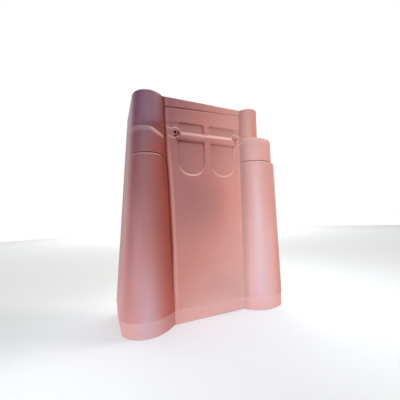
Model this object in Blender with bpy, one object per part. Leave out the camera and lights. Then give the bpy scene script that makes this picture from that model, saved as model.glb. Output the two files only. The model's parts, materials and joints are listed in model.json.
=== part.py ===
"""Left-hand verge tile for a pitched roof, one piece of pressed and fired clay.

The tile stands on its tail, as it does on a shelf: the tail is at z = 0 and the head is at the top.
Its weather face looks along -Y and its underside along +Y. From left to right it has the verge roll
with the flange that runs back from it, the flat pan, and the cover roll. Both rolls are hollow
behind. Near the head each roll steps down twice, to a collar and then to a spigot, which the tail
of the next tile covers, and the pan carries the nail holes and its moulded relief.

Lengths are in metres. Within the profile, x is measured from the middle of the pan and y from the
pan's face, with y growing towards the underside.
"""

import math

import bmesh
import bpy

# The tile as a whole
LENGTH = 0.440
WALL = 0.012
TAIL_BAND = 0.028               # height of the thinner band along the tail
TAIL_BAND_INSET = 0.0012        # how much thinner the band is at the very tail
TAIL_TUCK = 0.0016              # how much narrower the verge roll is at the very tail

# The two steps of the rolls, which the next tile covers down to the foot of the collar
SPIGOT_LENGTH = 0.064
COLLAR_LENGTH = 0.051
COLLAR_STEP = 0.0028            # how much lower the collar is than the roll
COLLAR_SIDE_STEP = 0.0055       # how much narrower the cover roll's collar is
LIP = 0.008                     # rounding at the top of the collar
LIP_START = 0.45                # least share of the collar's step that stays flat inside the lip
LIP_CREVICE = 0.0005            # how much the flat inside the lip falls away from the spigot
ROLL_LIP = 0.0020               # height of the rounding at the top of the roll

# The pan, which widens towards the head as the rolls grow narrower
PAN_WIDTH_TAIL = 0.160
PAN_WIDTH_COVER = 0.1665

# The verge roll on the left, at the tail and at the foot of the collar
VERGE_WIDTH_TAIL = 0.099
VERGE_WIDTH_COVER = 0.067
VERGE_HEIGHT_TAIL = 0.0262
VERGE_HEIGHT_COVER = 0.0208
VERGE_SHOULDER = 0.016          # how far behind the pan's face the roll turns into the flange
VERGE_SPIGOT_HEIGHT = 0.0136

# The flange behind the verge roll, measured back from the pan's face
FLANGE_DEPTH = 0.122
FLANGE_SPLAY = 0.0030           # how far its back edge leans outwards at the tail
FLANGE_TOE_IN = 0.0012          # how far its back edge leans inwards at the head
FLANGE_CORNER = 0.022           # height of the rounded corner at the tail
FLANGE_CORNER_DEPTH = 0.024     # how much the corner takes off the flange's depth

# The cover roll on the right
COVER_WIDTH_TAIL = 0.1008
COVER_WIDTH_COVER = 0.0895
COVER_HEIGHT_TAIL = 0.0305
COVER_HEIGHT_COVER = 0.0270
COVER_EDGE = 0.004              # how far the roll's free edge reaches behind the pan's face
COVER_SPIGOT_WIDTH = 0.0434
COVER_SPIGOT_HEIGHT = 0.0168
COVER_SPIGOT_GAP = 0.003        # from the pan to the foot of the spigot

# The moulded relief of the pan, listed from the head down
RIM = 0.014                     # height of the rim along the head
RIM_RISE = 0.0008
POCKET_DROP = 0.0455            # from the head to the top of the two pockets
POCKET_HEIGHT = 0.0175
BAR_HEIGHT = 0.0192
BAR_RISE = 0.0030
PANEL_HEIGHT = 0.0658
RIB_WIDTH = 0.0155
POCKET_DEPTH = 0.0030
POCKET_CORNER = 0.004
PANEL_WIDTH = 0.0566
PANEL_DEPTH = 0.0022
PANEL_CORNER = 0.003
PANEL_ROUNDING = 0.026          # radius of the panels' two lower corners
DRAFT = 0.0015                  # how much every wall of the relief leans back

# The nail holes at the ends of the bar, each with a boss in a dish; only the left one is pierced
NAIL_FROM_VERGE = 0.0198        # from the foot of the verge roll to the left hole's middle
NAIL_FROM_COVER = 0.0088        # from the foot of the cover roll to the right hole's middle
NAIL_DROP = 0.0035              # from the bar's top to the holes' middles
NAIL_HOLE = 0.0026              # radius
NAIL_DIMPLE_DEPTH = 0.0035
BOSS_RADIUS = 0.0062
BOSS_RISE = 0.0016
DISH_RADIUS = 0.0092
DISH_DEPTH = 0.0004             # how far the dish's floor lies behind the pan's face
RING_RADIUS = 0.0128

# The two nibs behind, which hang the tile on its batten
NIB_WIDTH = 0.034
NIB_RISE = 0.015
NIB_THICKNESS = 0.020
NIB_DROP = 0.038                # from the head to the nibs' top
NIB_SPACING = 0.096
NIB_DRAFT = 0.0025

# Fineness of the facets
SHOULDER_SEGMENTS = 10
FLANK_SEGMENTS = 9
CIRCLE_SEGMENTS = 28
CORNER_SEGMENTS = 6
BAR_SEGMENTS = 8
LIP_SEGMENTS = 5
BODY_RINGS = 6
TAIL_RINGS = 4
OVERRUN = 0.004                 # how far a cutter reaches past the face that it cuts

# Shape of the flanks, as fullness and squareness, see flank()
VERGE_FLANK = (2.0, 1.0)
VERGE_OUTER = (2.1, 0.476)
COVER_FLANK = (1.8, 0.72)
ROUND = (2.0, 0.5)
CREST_SHARE = 0.49              # the verge roll's crest, from the pan, as a share of its width

CLAY = (0.42, 0.155, 0.115, 1.0)
CLAY_ROUGHNESS = 0.62
SHARP_ANGLE = 35.0              # degrees; a fold sharper than this shows as an edge
AXES = "profile_axes"

# Heights of the steps and of the relief's lines, from the tail
HEAD = LENGTH
COLLAR_TOP = HEAD - SPIGOT_LENGTH
COVER_LINE = COLLAR_TOP - COLLAR_LENGTH
POCKET_TOP = HEAD - POCKET_DROP
BAR_TOP = POCKET_TOP - POCKET_HEIGHT
BAR_BOTTOM = BAR_TOP - BAR_HEIGHT
PANEL_BOTTOM = BAR_BOTTOM - PANEL_HEIGHT
NAIL_Z = BAR_TOP - NAIL_DROP

# The wall beside the verge roll's foot, where its flank leans at about 45 degrees
VERGE_FOOT_WALL = WALL * (math.sqrt(2.0) - 1.0)


def between(z, tail, cover):
    """A size of the rolls at height z, on the straight line from the tail to the cover line."""
    return tail + (cover - tail) * z / COVER_LINE


def pan_half(z):
    return between(z, PAN_WIDTH_TAIL, PAN_WIDTH_COVER) / 2


def nail_places():
    """Where the left and the right nail hole stand across the pan."""
    half = pan_half(NAIL_Z)
    return -half + NAIL_FROM_VERGE, half - NAIL_FROM_COVER


def rib_edges():
    """The sides of the rib, which stands midway between the nail holes."""
    middle = sum(nail_places()) / 2
    return middle - RIB_WIDTH / 2, middle + RIB_WIDTH / 2


def flange_edge(z, outer):
    """The flange's back edge at height z, as (x, y), under a shoulder that stands at x = outer."""
    up = max(0.0, 1.0 - z / FLANGE_CORNER)
    depth = FLANGE_DEPTH - FLANGE_CORNER_DEPTH * (1.0 - math.sqrt(1.0 - up * up))
    splay = FLANGE_SPLAY - (FLANGE_SPLAY + FLANGE_TOE_IN) * z / HEAD
    return outer - splay, depth


def flank(foot, crest, shape, segments):
    """Points from a roll's foot to its crest, each given as (x, y).

    With u running from 1 at the foot to 0 at the crest, the point stands at
    (1 - u ** fullness) ** squareness of the way up. (2, 0.5) is a quarter of an ellipse.
    """
    fullness, squareness = shape
    points = []
    for i in range(segments + 1):
        u = math.cos(0.5 * math.pi * i / segments)
        rise = max(0.0, 1.0 - u ** fullness) ** squareness
        points.append((crest[0] + u * (foot[0] - crest[0]), foot[1] + rise * (crest[1] - foot[1])))
    return points


def roll_sizes(z, part):
    """Width and height of both rolls at height z on the roll proper, the collar or the spigot."""
    tuck = TAIL_TUCK * max(0.0, 1.0 - z / TAIL_BAND)
    verge_width = between(z, VERGE_WIDTH_TAIL, VERGE_WIDTH_COVER) - tuck
    verge_height = between(z, VERGE_HEIGHT_TAIL, VERGE_HEIGHT_COVER)
    cover_width = between(z, COVER_WIDTH_TAIL, COVER_WIDTH_COVER)
    cover_height = between(z, COVER_HEIGHT_TAIL, COVER_HEIGHT_COVER)
    if part == "collar":
        verge_height -= COLLAR_STEP
        cover_width -= COLLAR_SIDE_STEP
        cover_height -= COLLAR_STEP
    if part == "spigot":
        verge_height = VERGE_SPIGOT_HEIGHT
        cover_width = COVER_SPIGOT_WIDTH
        cover_height = COVER_SPIGOT_HEIGHT
    return verge_width, verge_height, cover_width, cover_height


def front_outline(z, part, rise=0.0):
    """The weather face at height z, from the flange's back edge to the cover roll's free edge."""
    verge_width, verge_height, cover_width, cover_height = roll_sizes(z, part)
    half = pan_half(z)
    outer = -half - verge_width
    verge_crest = (-half - CREST_SHARE * verge_width, -verge_height)
    cover_foot = half + (COVER_SPIGOT_GAP if part == "spigot" else 0.0)
    cover_crest = (cover_foot + cover_width / 2, -cover_height)
    cover_edge = cover_foot + cover_width
    points = [flange_edge(z, outer)]
    points += flank((outer, VERGE_SHOULDER), verge_crest, VERGE_OUTER, SHOULDER_SEGMENTS)
    points += flank((-half, 0.0), verge_crest, VERGE_FLANK, FLANK_SEGMENTS)[-2::-1]
    points += flank((cover_foot, 0.0), cover_crest, COVER_FLANK, FLANK_SEGMENTS)
    points += flank((cover_edge, 0.0), cover_crest, ROUND, FLANK_SEGMENTS)[-2::-1]
    points.append((cover_edge, COVER_EDGE))
    first = SHOULDER_SEGMENTS + 1
    last = first + 2 * FLANK_SEGMENTS + 1
    return [(x, min(y, -rise)) if first < i < last else (x, y) for i, (x, y) in enumerate(points)]


def back_outline(z, part):
    """The underside at height z, a wall's thickness behind the weather face, point for point."""
    verge_width, verge_height, cover_width, cover_height = roll_sizes(z, part)
    half = pan_half(z)
    inner = -half - verge_width + WALL
    verge_crest = (-half - CREST_SHARE * verge_width, WALL - verge_height)
    verge_foot = -half - VERGE_FOOT_WALL
    cover_foot = half + (COVER_SPIGOT_GAP if part == "spigot" else 0.0)
    cover_crest = (cover_foot + cover_width / 2, WALL - cover_height)
    cover_edge = cover_foot + cover_width
    points = [flange_edge(z, inner)]
    points += flank((inner, VERGE_SHOULDER), verge_crest, VERGE_OUTER, SHOULDER_SEGMENTS)
    points += flank((verge_foot, WALL), verge_crest, VERGE_FLANK, FLANK_SEGMENTS)[-2::-1]
    points += flank((cover_foot + WALL, WALL), cover_crest, ROUND, FLANK_SEGMENTS)
    points += flank((cover_edge - WALL, 0.0), cover_crest, ROUND, FLANK_SEGMENTS)[-2::-1]
    points.append((cover_edge - WALL, COVER_EDGE))
    return points


def mixed(first, second, share):
    """Outline part of the way from the first to the second."""
    return [
        (x0 + (x1 - x0) * share, y0 + (y1 - y0) * share)
        for (x0, y0), (x1, y1) in zip(first, second)
    ]


def rounded_lip(inner, outer, turn):
    """Outline on the collar's lip, from its flat at turn = 0 to its side at a quarter turn."""
    points = []
    for (x0, y0), (x1, y1) in zip(inner, outer):
        reach = math.hypot(x1 - x0, y1 - y0)
        rounding = min(LIP, reach * (1.0 - LIP_START)) * (1.0 - math.sin(turn))
        share = 1.0 - rounding / reach if reach > 0.0 else 1.0
        points.append((x0 + (x1 - x0) * share, y0 + (y1 - y0) * share))
    return points


def inset(points, distance):
    """An open outline moved towards the underside by a distance."""
    normals = []
    for (x0, y0), (x1, y1) in zip(points, points[1:]):
        length = math.hypot(x1 - x0, y1 - y0)
        normals.append((-(y1 - y0) / length, (x1 - x0) / length))
    before = [normals[0]] + normals
    after = normals + [normals[-1]]
    moved = []
    for (x, y), (ax, ay), (bx, by) in zip(points, before, after):
        reach = distance / (1.0 + ax * bx + ay * by)
        moved.append((x + (ax + bx) * reach, y + (ay + by) * reach))
    return moved


def ring(z_front, front, z_back, back):
    """Points around the wall, along the weather face at z_front and back behind at z_back."""
    face = [(x, y, z_front) for x, y in front]
    rear = [(x, y, z_back) for x, y in back]
    return face + rear[::-1]


def level_ring(z, part, rise=0.0):
    return ring(z, front_outline(z, part, rise), z, back_outline(z, part))


def collar_rings():
    """The collar's flat and rounded lip, with the hollow's wall a wall's thickness below them."""
    low = COLLAR_TOP - WALL
    rings = [ring(COLLAR_TOP, front_outline(COLLAR_TOP, "spigot"), low, back_outline(low, "spigot"))]
    for i in range(LIP_SEGMENTS + 1):
        turn = 0.5 * math.pi * i / LIP_SEGMENTS
        z = COLLAR_TOP - LIP_CREVICE - (LIP - LIP_CREVICE) * (1.0 - math.cos(turn))
        low = z - WALL
        front = rounded_lip(front_outline(z, "spigot"), front_outline(z, "collar"), turn)
        back = rounded_lip(back_outline(low, "spigot"), back_outline(low, "collar"), turn)
        rings.append(ring(z, front, low, back))
    return rings


def tail_ring(z):
    """The roll near the tail, thinned by the tail band."""
    outline = front_outline(z, "roll")
    thin = inset(outline, TAIL_BAND_INSET * max(0.0, 1.0 - z / TAIL_BAND))
    thin[0] = (thin[0][0], outline[0][1])
    thin[-1] = (thin[-1][0], outline[-1][1])
    return ring(z, thin, z, back_outline(z, "roll"))


def body_rings():
    """The tile's rings from the head to the tail, each a list of points around the wall."""
    rim_foot = HEAD - RIM
    rings = [
        level_ring(HEAD, "spigot", RIM_RISE),
        level_ring(rim_foot, "spigot", RIM_RISE),
        level_ring(rim_foot - DRAFT, "spigot"),
    ]
    rings += collar_rings()
    rings.append(level_ring(COVER_LINE + ROLL_LIP, "collar"))
    edge = COVER_LINE + ROLL_LIP / 2
    soft = mixed(front_outline(edge, "collar"), front_outline(edge, "roll"), LIP_START)
    rings.append(ring(edge, soft, edge, back_outline(edge, "collar")))
    upper = COVER_LINE - ROLL_LIP
    lower = max(TAIL_BAND, FLANGE_CORNER)
    for i in range(BODY_RINGS):
        rings.append(level_ring(upper + (lower - upper) * i / BODY_RINGS, "roll"))
    heights = {TAIL_BAND}
    heights.update(FLANGE_CORNER * (i / TAIL_RINGS) ** 2 for i in range(TAIL_RINGS + 1))
    rings += [tail_ring(z) for z in sorted(heights, reverse=True)]
    return rings


def tile_frame():
    """Where the middle of the tile's box lies in the profile's axes."""
    points = [point for points in body_rings() for point in points]
    xs = [x for x, _, _ in points]
    ys = [y for _, y, _ in points]
    return (min(xs) + max(xs)) / 2, (min(ys) + max(ys)) / 2


def profile_axes():
    """The empty that carries every shape, placed so that the origin is under the tile's middle."""
    middle_x, middle_y = tile_frame()
    axes = bpy.data.objects.new(AXES, None)
    axes.location = (-middle_x, -middle_y, 0.0)
    bpy.context.collection.objects.link(axes)


def new_object(name, bm):
    bmesh.ops.recalc_face_normals(bm, faces=bm.faces)
    mesh = bpy.data.meshes.new(name)
    bm.to_mesh(mesh)
    bm.free()
    obj = bpy.data.objects.new(name, mesh)
    obj.parent = bpy.data.objects[AXES]
    bpy.context.collection.objects.link(obj)
    return obj


def side_walls(bm, rows):
    """Faces between rings of the same number of points."""
    count = len(rows[0])
    for upper, lower in zip(rows, rows[1:]):
        for i in range(count):
            j = (i + 1) % count
            bm.faces.new((upper[i], upper[j], lower[j], lower[i]))


def lofted(name, rings):
    """A closed solid through rings, with a flat cap at either end, that cuts or adds to the tile."""
    bm = bmesh.new()
    rows = [[bm.verts.new(point) for point in points] for points in rings]
    side_walls(bm, rows)
    bm.faces.new(rows[0])
    bm.faces.new(rows[-1])
    obj = new_object(name, bm)
    obj.display_type = "WIRE"
    obj.hide_render = True
    return obj


def tile_body():
    """The tile without its relief: rings around the wall, closed by a strip at the head and tail."""
    bm = bmesh.new()
    rows = [[bm.verts.new(point) for point in points] for points in body_rings()]
    side_walls(bm, rows)
    count = len(rows[0])
    for row in (rows[0], rows[-1]):
        for i in range(count // 2 - 1):
            bm.faces.new((row[i], row[i + 1], row[count - 2 - i], row[count - 1 - i]))
    return new_object("verge_tile", bm)


def rounded_rectangle(left, right, bottom, top, bottom_radius, top_radius):
    """A rectangle with rounded corners, as (x, z) points against the clock."""
    corners = [
        (left + bottom_radius, bottom + bottom_radius, bottom_radius, 180),
        (right - bottom_radius, bottom + bottom_radius, bottom_radius, 270),
        (right - top_radius, top - top_radius, top_radius, 0),
        (left + top_radius, top - top_radius, top_radius, 90),
    ]
    points = []
    for x, z, radius, start in corners:
        for i in range(CORNER_SEGMENTS + 1):
            angle = math.radians(start + 90.0 * i / CORNER_SEGMENTS)
            points.append((x + radius * math.cos(angle), z + radius * math.sin(angle)))
    return points


def pocket(name, left, right, bottom, top, depth, bottom_radius, top_radius):
    """A cutter for a recess in the pan's face, with walls that lean by the draft over its depth."""

    def outline(y):
        lean = DRAFT * y / depth
        return [(x, y, z) for x, z in rounded_rectangle(
            left + lean, right - lean, bottom + lean, top - lean,
            bottom_radius - lean, top_radius - lean)]

    return lofted(name, [outline(-OVERRUN / 2), outline(depth)])


def knob(name, x, z, front, back, front_radius, back_radius):
    """A round boss or a round cutter between y = front and y = back."""

    def circle(y, radius):
        angles = [2.0 * math.pi * i / CIRCLE_SEGMENTS for i in range(CIRCLE_SEGMENTS)]
        return [(x + radius * math.cos(a), y, z + radius * math.sin(a)) for a in angles]

    return lofted(name, [circle(front, front_radius), circle(back, back_radius)])


def bar(name, left, right):
    """The cross bar, half an ellipse in section, rooted in the wall."""
    half = BAR_HEIGHT / 2
    middle = BAR_BOTTOM + half
    section = [(-half, WALL / 2)]
    for i in range(BAR_SEGMENTS + 1):
        angle = math.pi * i / BAR_SEGMENTS
        section.append((-half * math.cos(angle), -BAR_RISE * math.sin(angle)))
    section.append((half, WALL / 2))
    return lofted(name, [[(x, y, middle + z) for z, y in section] for x in (left, right)])


def nib(name, x):
    """A hanging nib behind the pan, flat below where it hooks over the batten."""
    top = HEAD - NIB_DROP
    bottom = top - NIB_THICKNESS

    def outline(y, lean):
        return [
            (x - NIB_WIDTH / 2 + lean, y, bottom),
            (x + NIB_WIDTH / 2 - lean, y, bottom),
            (x + NIB_WIDTH / 2 - lean, y, top - 2 * lean),
            (x - NIB_WIDTH / 2 + lean, y, top - 2 * lean),
        ]

    return lofted(name, [outline(WALL / 2, 0.0), outline(WALL + NIB_RISE, NIB_DRAFT)])


def recesses():
    """Cutters for the two pockets above the bar and the two panels below it."""
    rib_left, rib_right = rib_edges()
    edge = pan_half(HEAD) - DRAFT
    bottom = BAR_TOP - POCKET_DEPTH
    top = BAR_BOTTOM + PANEL_DEPTH
    corners = (POCKET_CORNER, POCKET_CORNER)
    panel = (PANEL_BOTTOM, top, PANEL_DEPTH, PANEL_ROUNDING, PANEL_CORNER)
    return [
        pocket("pocket_left", -edge, rib_left, bottom, POCKET_TOP, POCKET_DEPTH, *corners),
        pocket("pocket_right", rib_right, edge, bottom, POCKET_TOP, POCKET_DEPTH, *corners),
        pocket("panel_left", rib_left - PANEL_WIDTH, rib_left, *panel),
        pocket("panel_right", rib_right, rib_right + PANEL_WIDTH, *panel),
    ]


def combine(tile, shape, operation):
    step = tile.modifiers.new(shape.name, "BOOLEAN")
    step.operation = operation
    step.solver = "EXACT"
    step.object = shape


def add_nail_place(tile, side, x):
    """The ring, dish and boss around a nail hole."""
    z = NAIL_Z
    root = WALL / 2
    ring_shape = knob(f"ring_{side}", x, z, -BAR_RISE, root, RING_RADIUS - DRAFT, RING_RADIUS)
    dish = knob(f"dish_{side}", x, z, -OVERRUN, DISH_DEPTH, DISH_RADIUS + DRAFT, DISH_RADIUS)
    boss = knob(f"boss_{side}", x, z, -BOSS_RISE, root, BOSS_RADIUS - DRAFT, BOSS_RADIUS)
    combine(tile, ring_shape, "UNION")
    combine(tile, dish, "DIFFERENCE")
    combine(tile, boss, "UNION")


def clay():
    material = bpy.data.materials.new("fired clay")
    material.use_nodes = True
    shader = material.node_tree.nodes["Principled BSDF"]
    shader.inputs["Base Color"].default_value = CLAY
    shader.inputs["Roughness"].default_value = CLAY_ROUGHNESS
    shader.inputs["Metallic"].default_value = 0.0
    return material


def main():
    for obj in list(bpy.data.objects):
        bpy.data.objects.remove(obj)
    profile_axes()
    tile = tile_body()
    for cutter in recesses():
        combine(tile, cutter, "DIFFERENCE")
    left, right = nail_places()
    combine(tile, bar("cross_bar", left, right), "UNION")
    add_nail_place(tile, "left", left)
    add_nail_place(tile, "right", right)
    through = WALL + OVERRUN
    hole = knob("nail_hole", left, NAIL_Z, -OVERRUN, through, NAIL_HOLE, NAIL_HOLE)
    dimple = knob("nail_dimple", right, NAIL_Z, -OVERRUN, NAIL_DIMPLE_DEPTH, NAIL_HOLE, NAIL_HOLE)
    combine(tile, hole, "DIFFERENCE")
    combine(tile, dimple, "DIFFERENCE")
    for side, sign in (("left", -1), ("right", 1)):
        combine(tile, nib(f"nib_{side}", sign * NIB_SPACING / 2), "UNION")
    tile.data.materials.append(clay())
    tile.data.shade_smooth()
    tile.data.set_sharp_from_angle(angle=math.radians(SHARP_ANGLE))


main()
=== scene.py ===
"""Looks of the verge tile: its fired clay surface in full detail, and a plain studio around it.

One closed surface stands for the tile's plain solid. It is made of rings around the wall, stacked
from the tail to the head. Each ring runs along the weather face from the flange's back edge to the
cover roll's free edge, and back along the underside. Lengths are in metres. Within the profile, x
is measured from the middle of the pan and y from the pan's face, with y growing towards the
underside; the frame's mounts say where that profile stands.
"""

import json
import math
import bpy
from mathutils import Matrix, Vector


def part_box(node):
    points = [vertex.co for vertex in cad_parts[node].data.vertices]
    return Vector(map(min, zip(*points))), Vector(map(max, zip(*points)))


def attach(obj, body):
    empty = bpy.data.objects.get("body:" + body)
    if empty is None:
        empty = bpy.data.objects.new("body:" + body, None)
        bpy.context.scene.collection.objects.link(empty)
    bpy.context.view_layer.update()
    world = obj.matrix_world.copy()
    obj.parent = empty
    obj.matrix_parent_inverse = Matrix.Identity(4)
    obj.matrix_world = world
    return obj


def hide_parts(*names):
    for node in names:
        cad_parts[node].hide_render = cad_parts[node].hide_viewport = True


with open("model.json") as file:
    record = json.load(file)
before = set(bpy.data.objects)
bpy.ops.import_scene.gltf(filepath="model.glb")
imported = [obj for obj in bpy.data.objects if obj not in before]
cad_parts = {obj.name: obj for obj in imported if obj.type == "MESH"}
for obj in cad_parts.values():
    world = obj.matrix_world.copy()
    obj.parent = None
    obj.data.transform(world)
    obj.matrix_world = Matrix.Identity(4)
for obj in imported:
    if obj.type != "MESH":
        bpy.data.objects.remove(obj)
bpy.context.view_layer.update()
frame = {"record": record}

from types import SimpleNamespace

import bpy
import numpy as np
from mathutils import Matrix, Vector

bl_info = {
    "name": "Verge Tile",
    "version": (1, 0, 0),
    "blender": (4, 5, 0),
    "location": "3D View > Sidebar > Verge Tile",
    "description": "A fired clay verge tile with its moulded relief, and a plain studio around it",
    "category": "Add Mesh",
}

MOUNTS = {mount["name"]: mount["pos_m"] for mount in frame["record"]["mounts"]}
PAN_FACE_Y = MOUNTS["headlap_face"][1]
PAN_MIDDLE_X = (MOUNTS["nib_left_seat"][0] + MOUNTS["nib_right_seat"][0]) / 2
TILE_LOW, TILE_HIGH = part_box("verge_tile")
TILE_LENGTH = TILE_HIGH[2] - TILE_LOW[2]
QUARTER = math.pi / 2

# Shape of the flanks, as fullness and squareness, see flank()
VERGE_FLANK = (2.0, 1.0)
VERGE_OUTER = (2.1, 0.476)
COVER_FLANK = (1.8, 0.72)
ROUND = (2.0, 0.5)

# Columns on the flange, and how far inside the pan's edges its straight columns end
FLANGE_COLUMNS = 7
PAN_MARGIN = 0.0037
# How far out on either side the painted light gradient goes
GRADIENT_REACH = 0.18
# How steeply the two rolls' flanks go on below the pan's face
VERGE_FOOT_SLOPE = 1.27
COVER_FOOT_SLOPE = 3.0

# The mark of the painted shadow inside the hole among the hollows, which are 1 at most
BORE_SHADOW_MARK = 2.0

# Each lamp's place, what it points at, its size, its spread in degrees and its tint
LAMPS = {
    "key": ((0.55, -1.2, 0.9), (0.0, 0.0, 0.2), 0.8, 180, (1.0, 0.66, 0.64)),
    "top": ((0.40, -0.20, 1.0), (0.0, -0.05, 0.25), 0.2, 180, (1.0, 0.86, 0.84)),
    "fill": ((-0.5, -0.3, 0.06), (0.0, 0.0, 0.2), 0.3, 180, (0.70, 0.78, 1.0)),
    "sheen": ((-0.05, -1.5, 0.3), (0.26, -0.08, 0.25), 0.5, 26, (0.94, 1.0, 1.0)),
    "high": ((-0.4, -0.85, 1.4), (0.22, -0.08, 0.1), 0.3, 30, (0.60, 0.85, 1.0)),
    "low": ((-0.9, -0.9, 0.9), (-0.15, -0.1, 0.0), 0.3, 24, (0.80, 0.90, 1.0)),
    "ground": ((1.4, 3.6, 2.2), (1.2, 3.2, 0.0), 3.0, 140, (1.0, 0.955, 0.965)),
}


def length(name, description, default):
    """A size in metres."""
    return bpy.props.FloatProperty(
        name=name, description=description, default=default, precision=5,
        subtype="DISTANCE", unit="LENGTH")


def share(name, description, default):
    """A number from 0 to 1."""
    return bpy.props.FloatProperty(
        name=name, description=description, default=default, min=0.0, max=1.0, subtype="FACTOR")


def colour(name, description, default):
    """A colour, as linear red, green and blue."""
    return bpy.props.FloatVectorProperty(
        name=name, description=description, default=default, size=3, min=0.0, max=1.0,
        subtype="COLOR")


def strength(name, description, default):
    """A plain factor that may be above 1."""
    return bpy.props.FloatProperty(name=name, description=description, default=default, min=0.0)


def power(name, description, default):
    """A lamp's power in watts."""
    return bpy.props.FloatProperty(
        name=name, description=description, default=default, min=0.0, subtype="POWER",
        unit="POWER")


class TileShape(bpy.types.PropertyGroup):
    """The tile's profile from end to end."""

    length: length("Length", "From the tail to the head", TILE_LENGTH)
    wall: length("Wall", "Thickness of the clay", 0.012)
    band: length("Tail band", "Height of the thinner band along the tail", 0.028)
    band_inset: length("Band inset", "How much thinner the band is at the very tail", 0.0011)
    band_step: length("Band step", "The small step at the band's upper edge", 0.0006)
    tail_tuck: length("Tail tuck", "How much narrower the verge roll is at the tail", 0.0016)
    spigot: length("Spigot", "Length of the narrowest part of the rolls", 0.064)
    collar: length("Collar", "Length of the middle part of the rolls", 0.051)
    collar_step: length("Collar step", "How much lower the collar is than the roll", 0.0028)
    collar_side: length("Collar side step", "How much narrower the cover roll's collar is", 0.0055)
    lip: length("Lip", "Rounding at the top of the collar", 0.008)
    lip_start: share("Lip start", "Share of the collar's step that stays flat", 0.45)
    lip_crevice: length("Crevice", "How much the flat falls away from the spigot", 0.0005)
    crevice: length("Crevice radius", "Rounding where the collar meets the spigot", 0.0009)
    roll_lip: length("Roll lip", "Rounding at the top of the roll", 0.0038)
    line_drop: length("Line drop", "From the cover line down to the top of the roll", 0.0009)
    line_width: length("Line width", "Width of the fine line above the roll's lip", 0.0008)
    groove: share("Groove", "Depth of the line above the roll's lip, as a share of the step", 0.30)
    lip_fall: length("Lip fall", "How far the verge collar's lip falls towards the pan", 0.0120)
    lip_sink: length("Lip sink", "How far that lip lies below the cover collar's", 0.0025)
    shoulder_fall: length("Shoulder fall", "How far the verge roll's top falls there", 0.019)
    cover_lip: share("Cover lip", "The cover collar's lip as a share of the verge collar's", 0.4)
    pan_tail: length("Pan at tail", "Width of the pan at the tail", 0.160)
    pan_cover: length("Pan at cover", "Width of the pan at the cover line", 0.1665)
    verge_width_tail: length("Verge width at tail", "Width of the verge roll", 0.099)
    verge_width_cover: length("Verge width at cover", "Width of the verge roll", 0.067)
    verge_height_tail: length("Verge height at tail", "Height of the verge roll", 0.0262)
    verge_height_cover: length("Verge height at cover", "Height of the verge roll", 0.0208)
    verge_shoulder: length("Shoulder", "How far behind the pan the roll turns", 0.016)
    verge_spigot: length("Verge spigot", "Height of the verge roll's spigot", 0.0136)
    crest: share("Verge crest", "Place of the crest across the verge roll", 0.49)
    flange: length("Flange", "Depth of the flange behind the pan's face", 0.122)
    flange_splay: length("Splay", "How far the flange leans outwards at the tail", 0.0030)
    flange_toe_in: length("Toe-in", "How far it leans inwards at the head", 0.0012)
    flange_corner: length("Flange corner", "Height of its rounded corner", 0.022)
    flange_corner_depth: length("Corner depth", "Depth of the rounded corner", 0.024)
    cover_width_tail: length("Cover width at tail", "Width of the cover roll", 0.1008)
    cover_width_cover: length("Cover width at cover", "Width of the cover roll", 0.0895)
    cover_height_tail: length("Cover height at tail", "Height of the cover roll", 0.0305)
    cover_height_cover: length("Cover height at cover", "Height of the cover roll", 0.0270)
    cover_edge: length("Cover edge", "How far its free edge reaches behind the pan", 0.004)
    cover_spigot_width: length("Cover spigot width", "Width of its spigot", 0.0434)
    cover_spigot: length("Cover spigot", "Height of the cover roll's spigot", 0.0168)
    spigot_gap: length("Spigot gap", "From the pan to the spigot's foot", 0.003)
    arris: length("Arris", "Radius of the edges at the tail and the head", 0.0013)
    free_edge: length("Free edge", "Radius of the flange's and the cover roll's edges", 0.0018)


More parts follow.
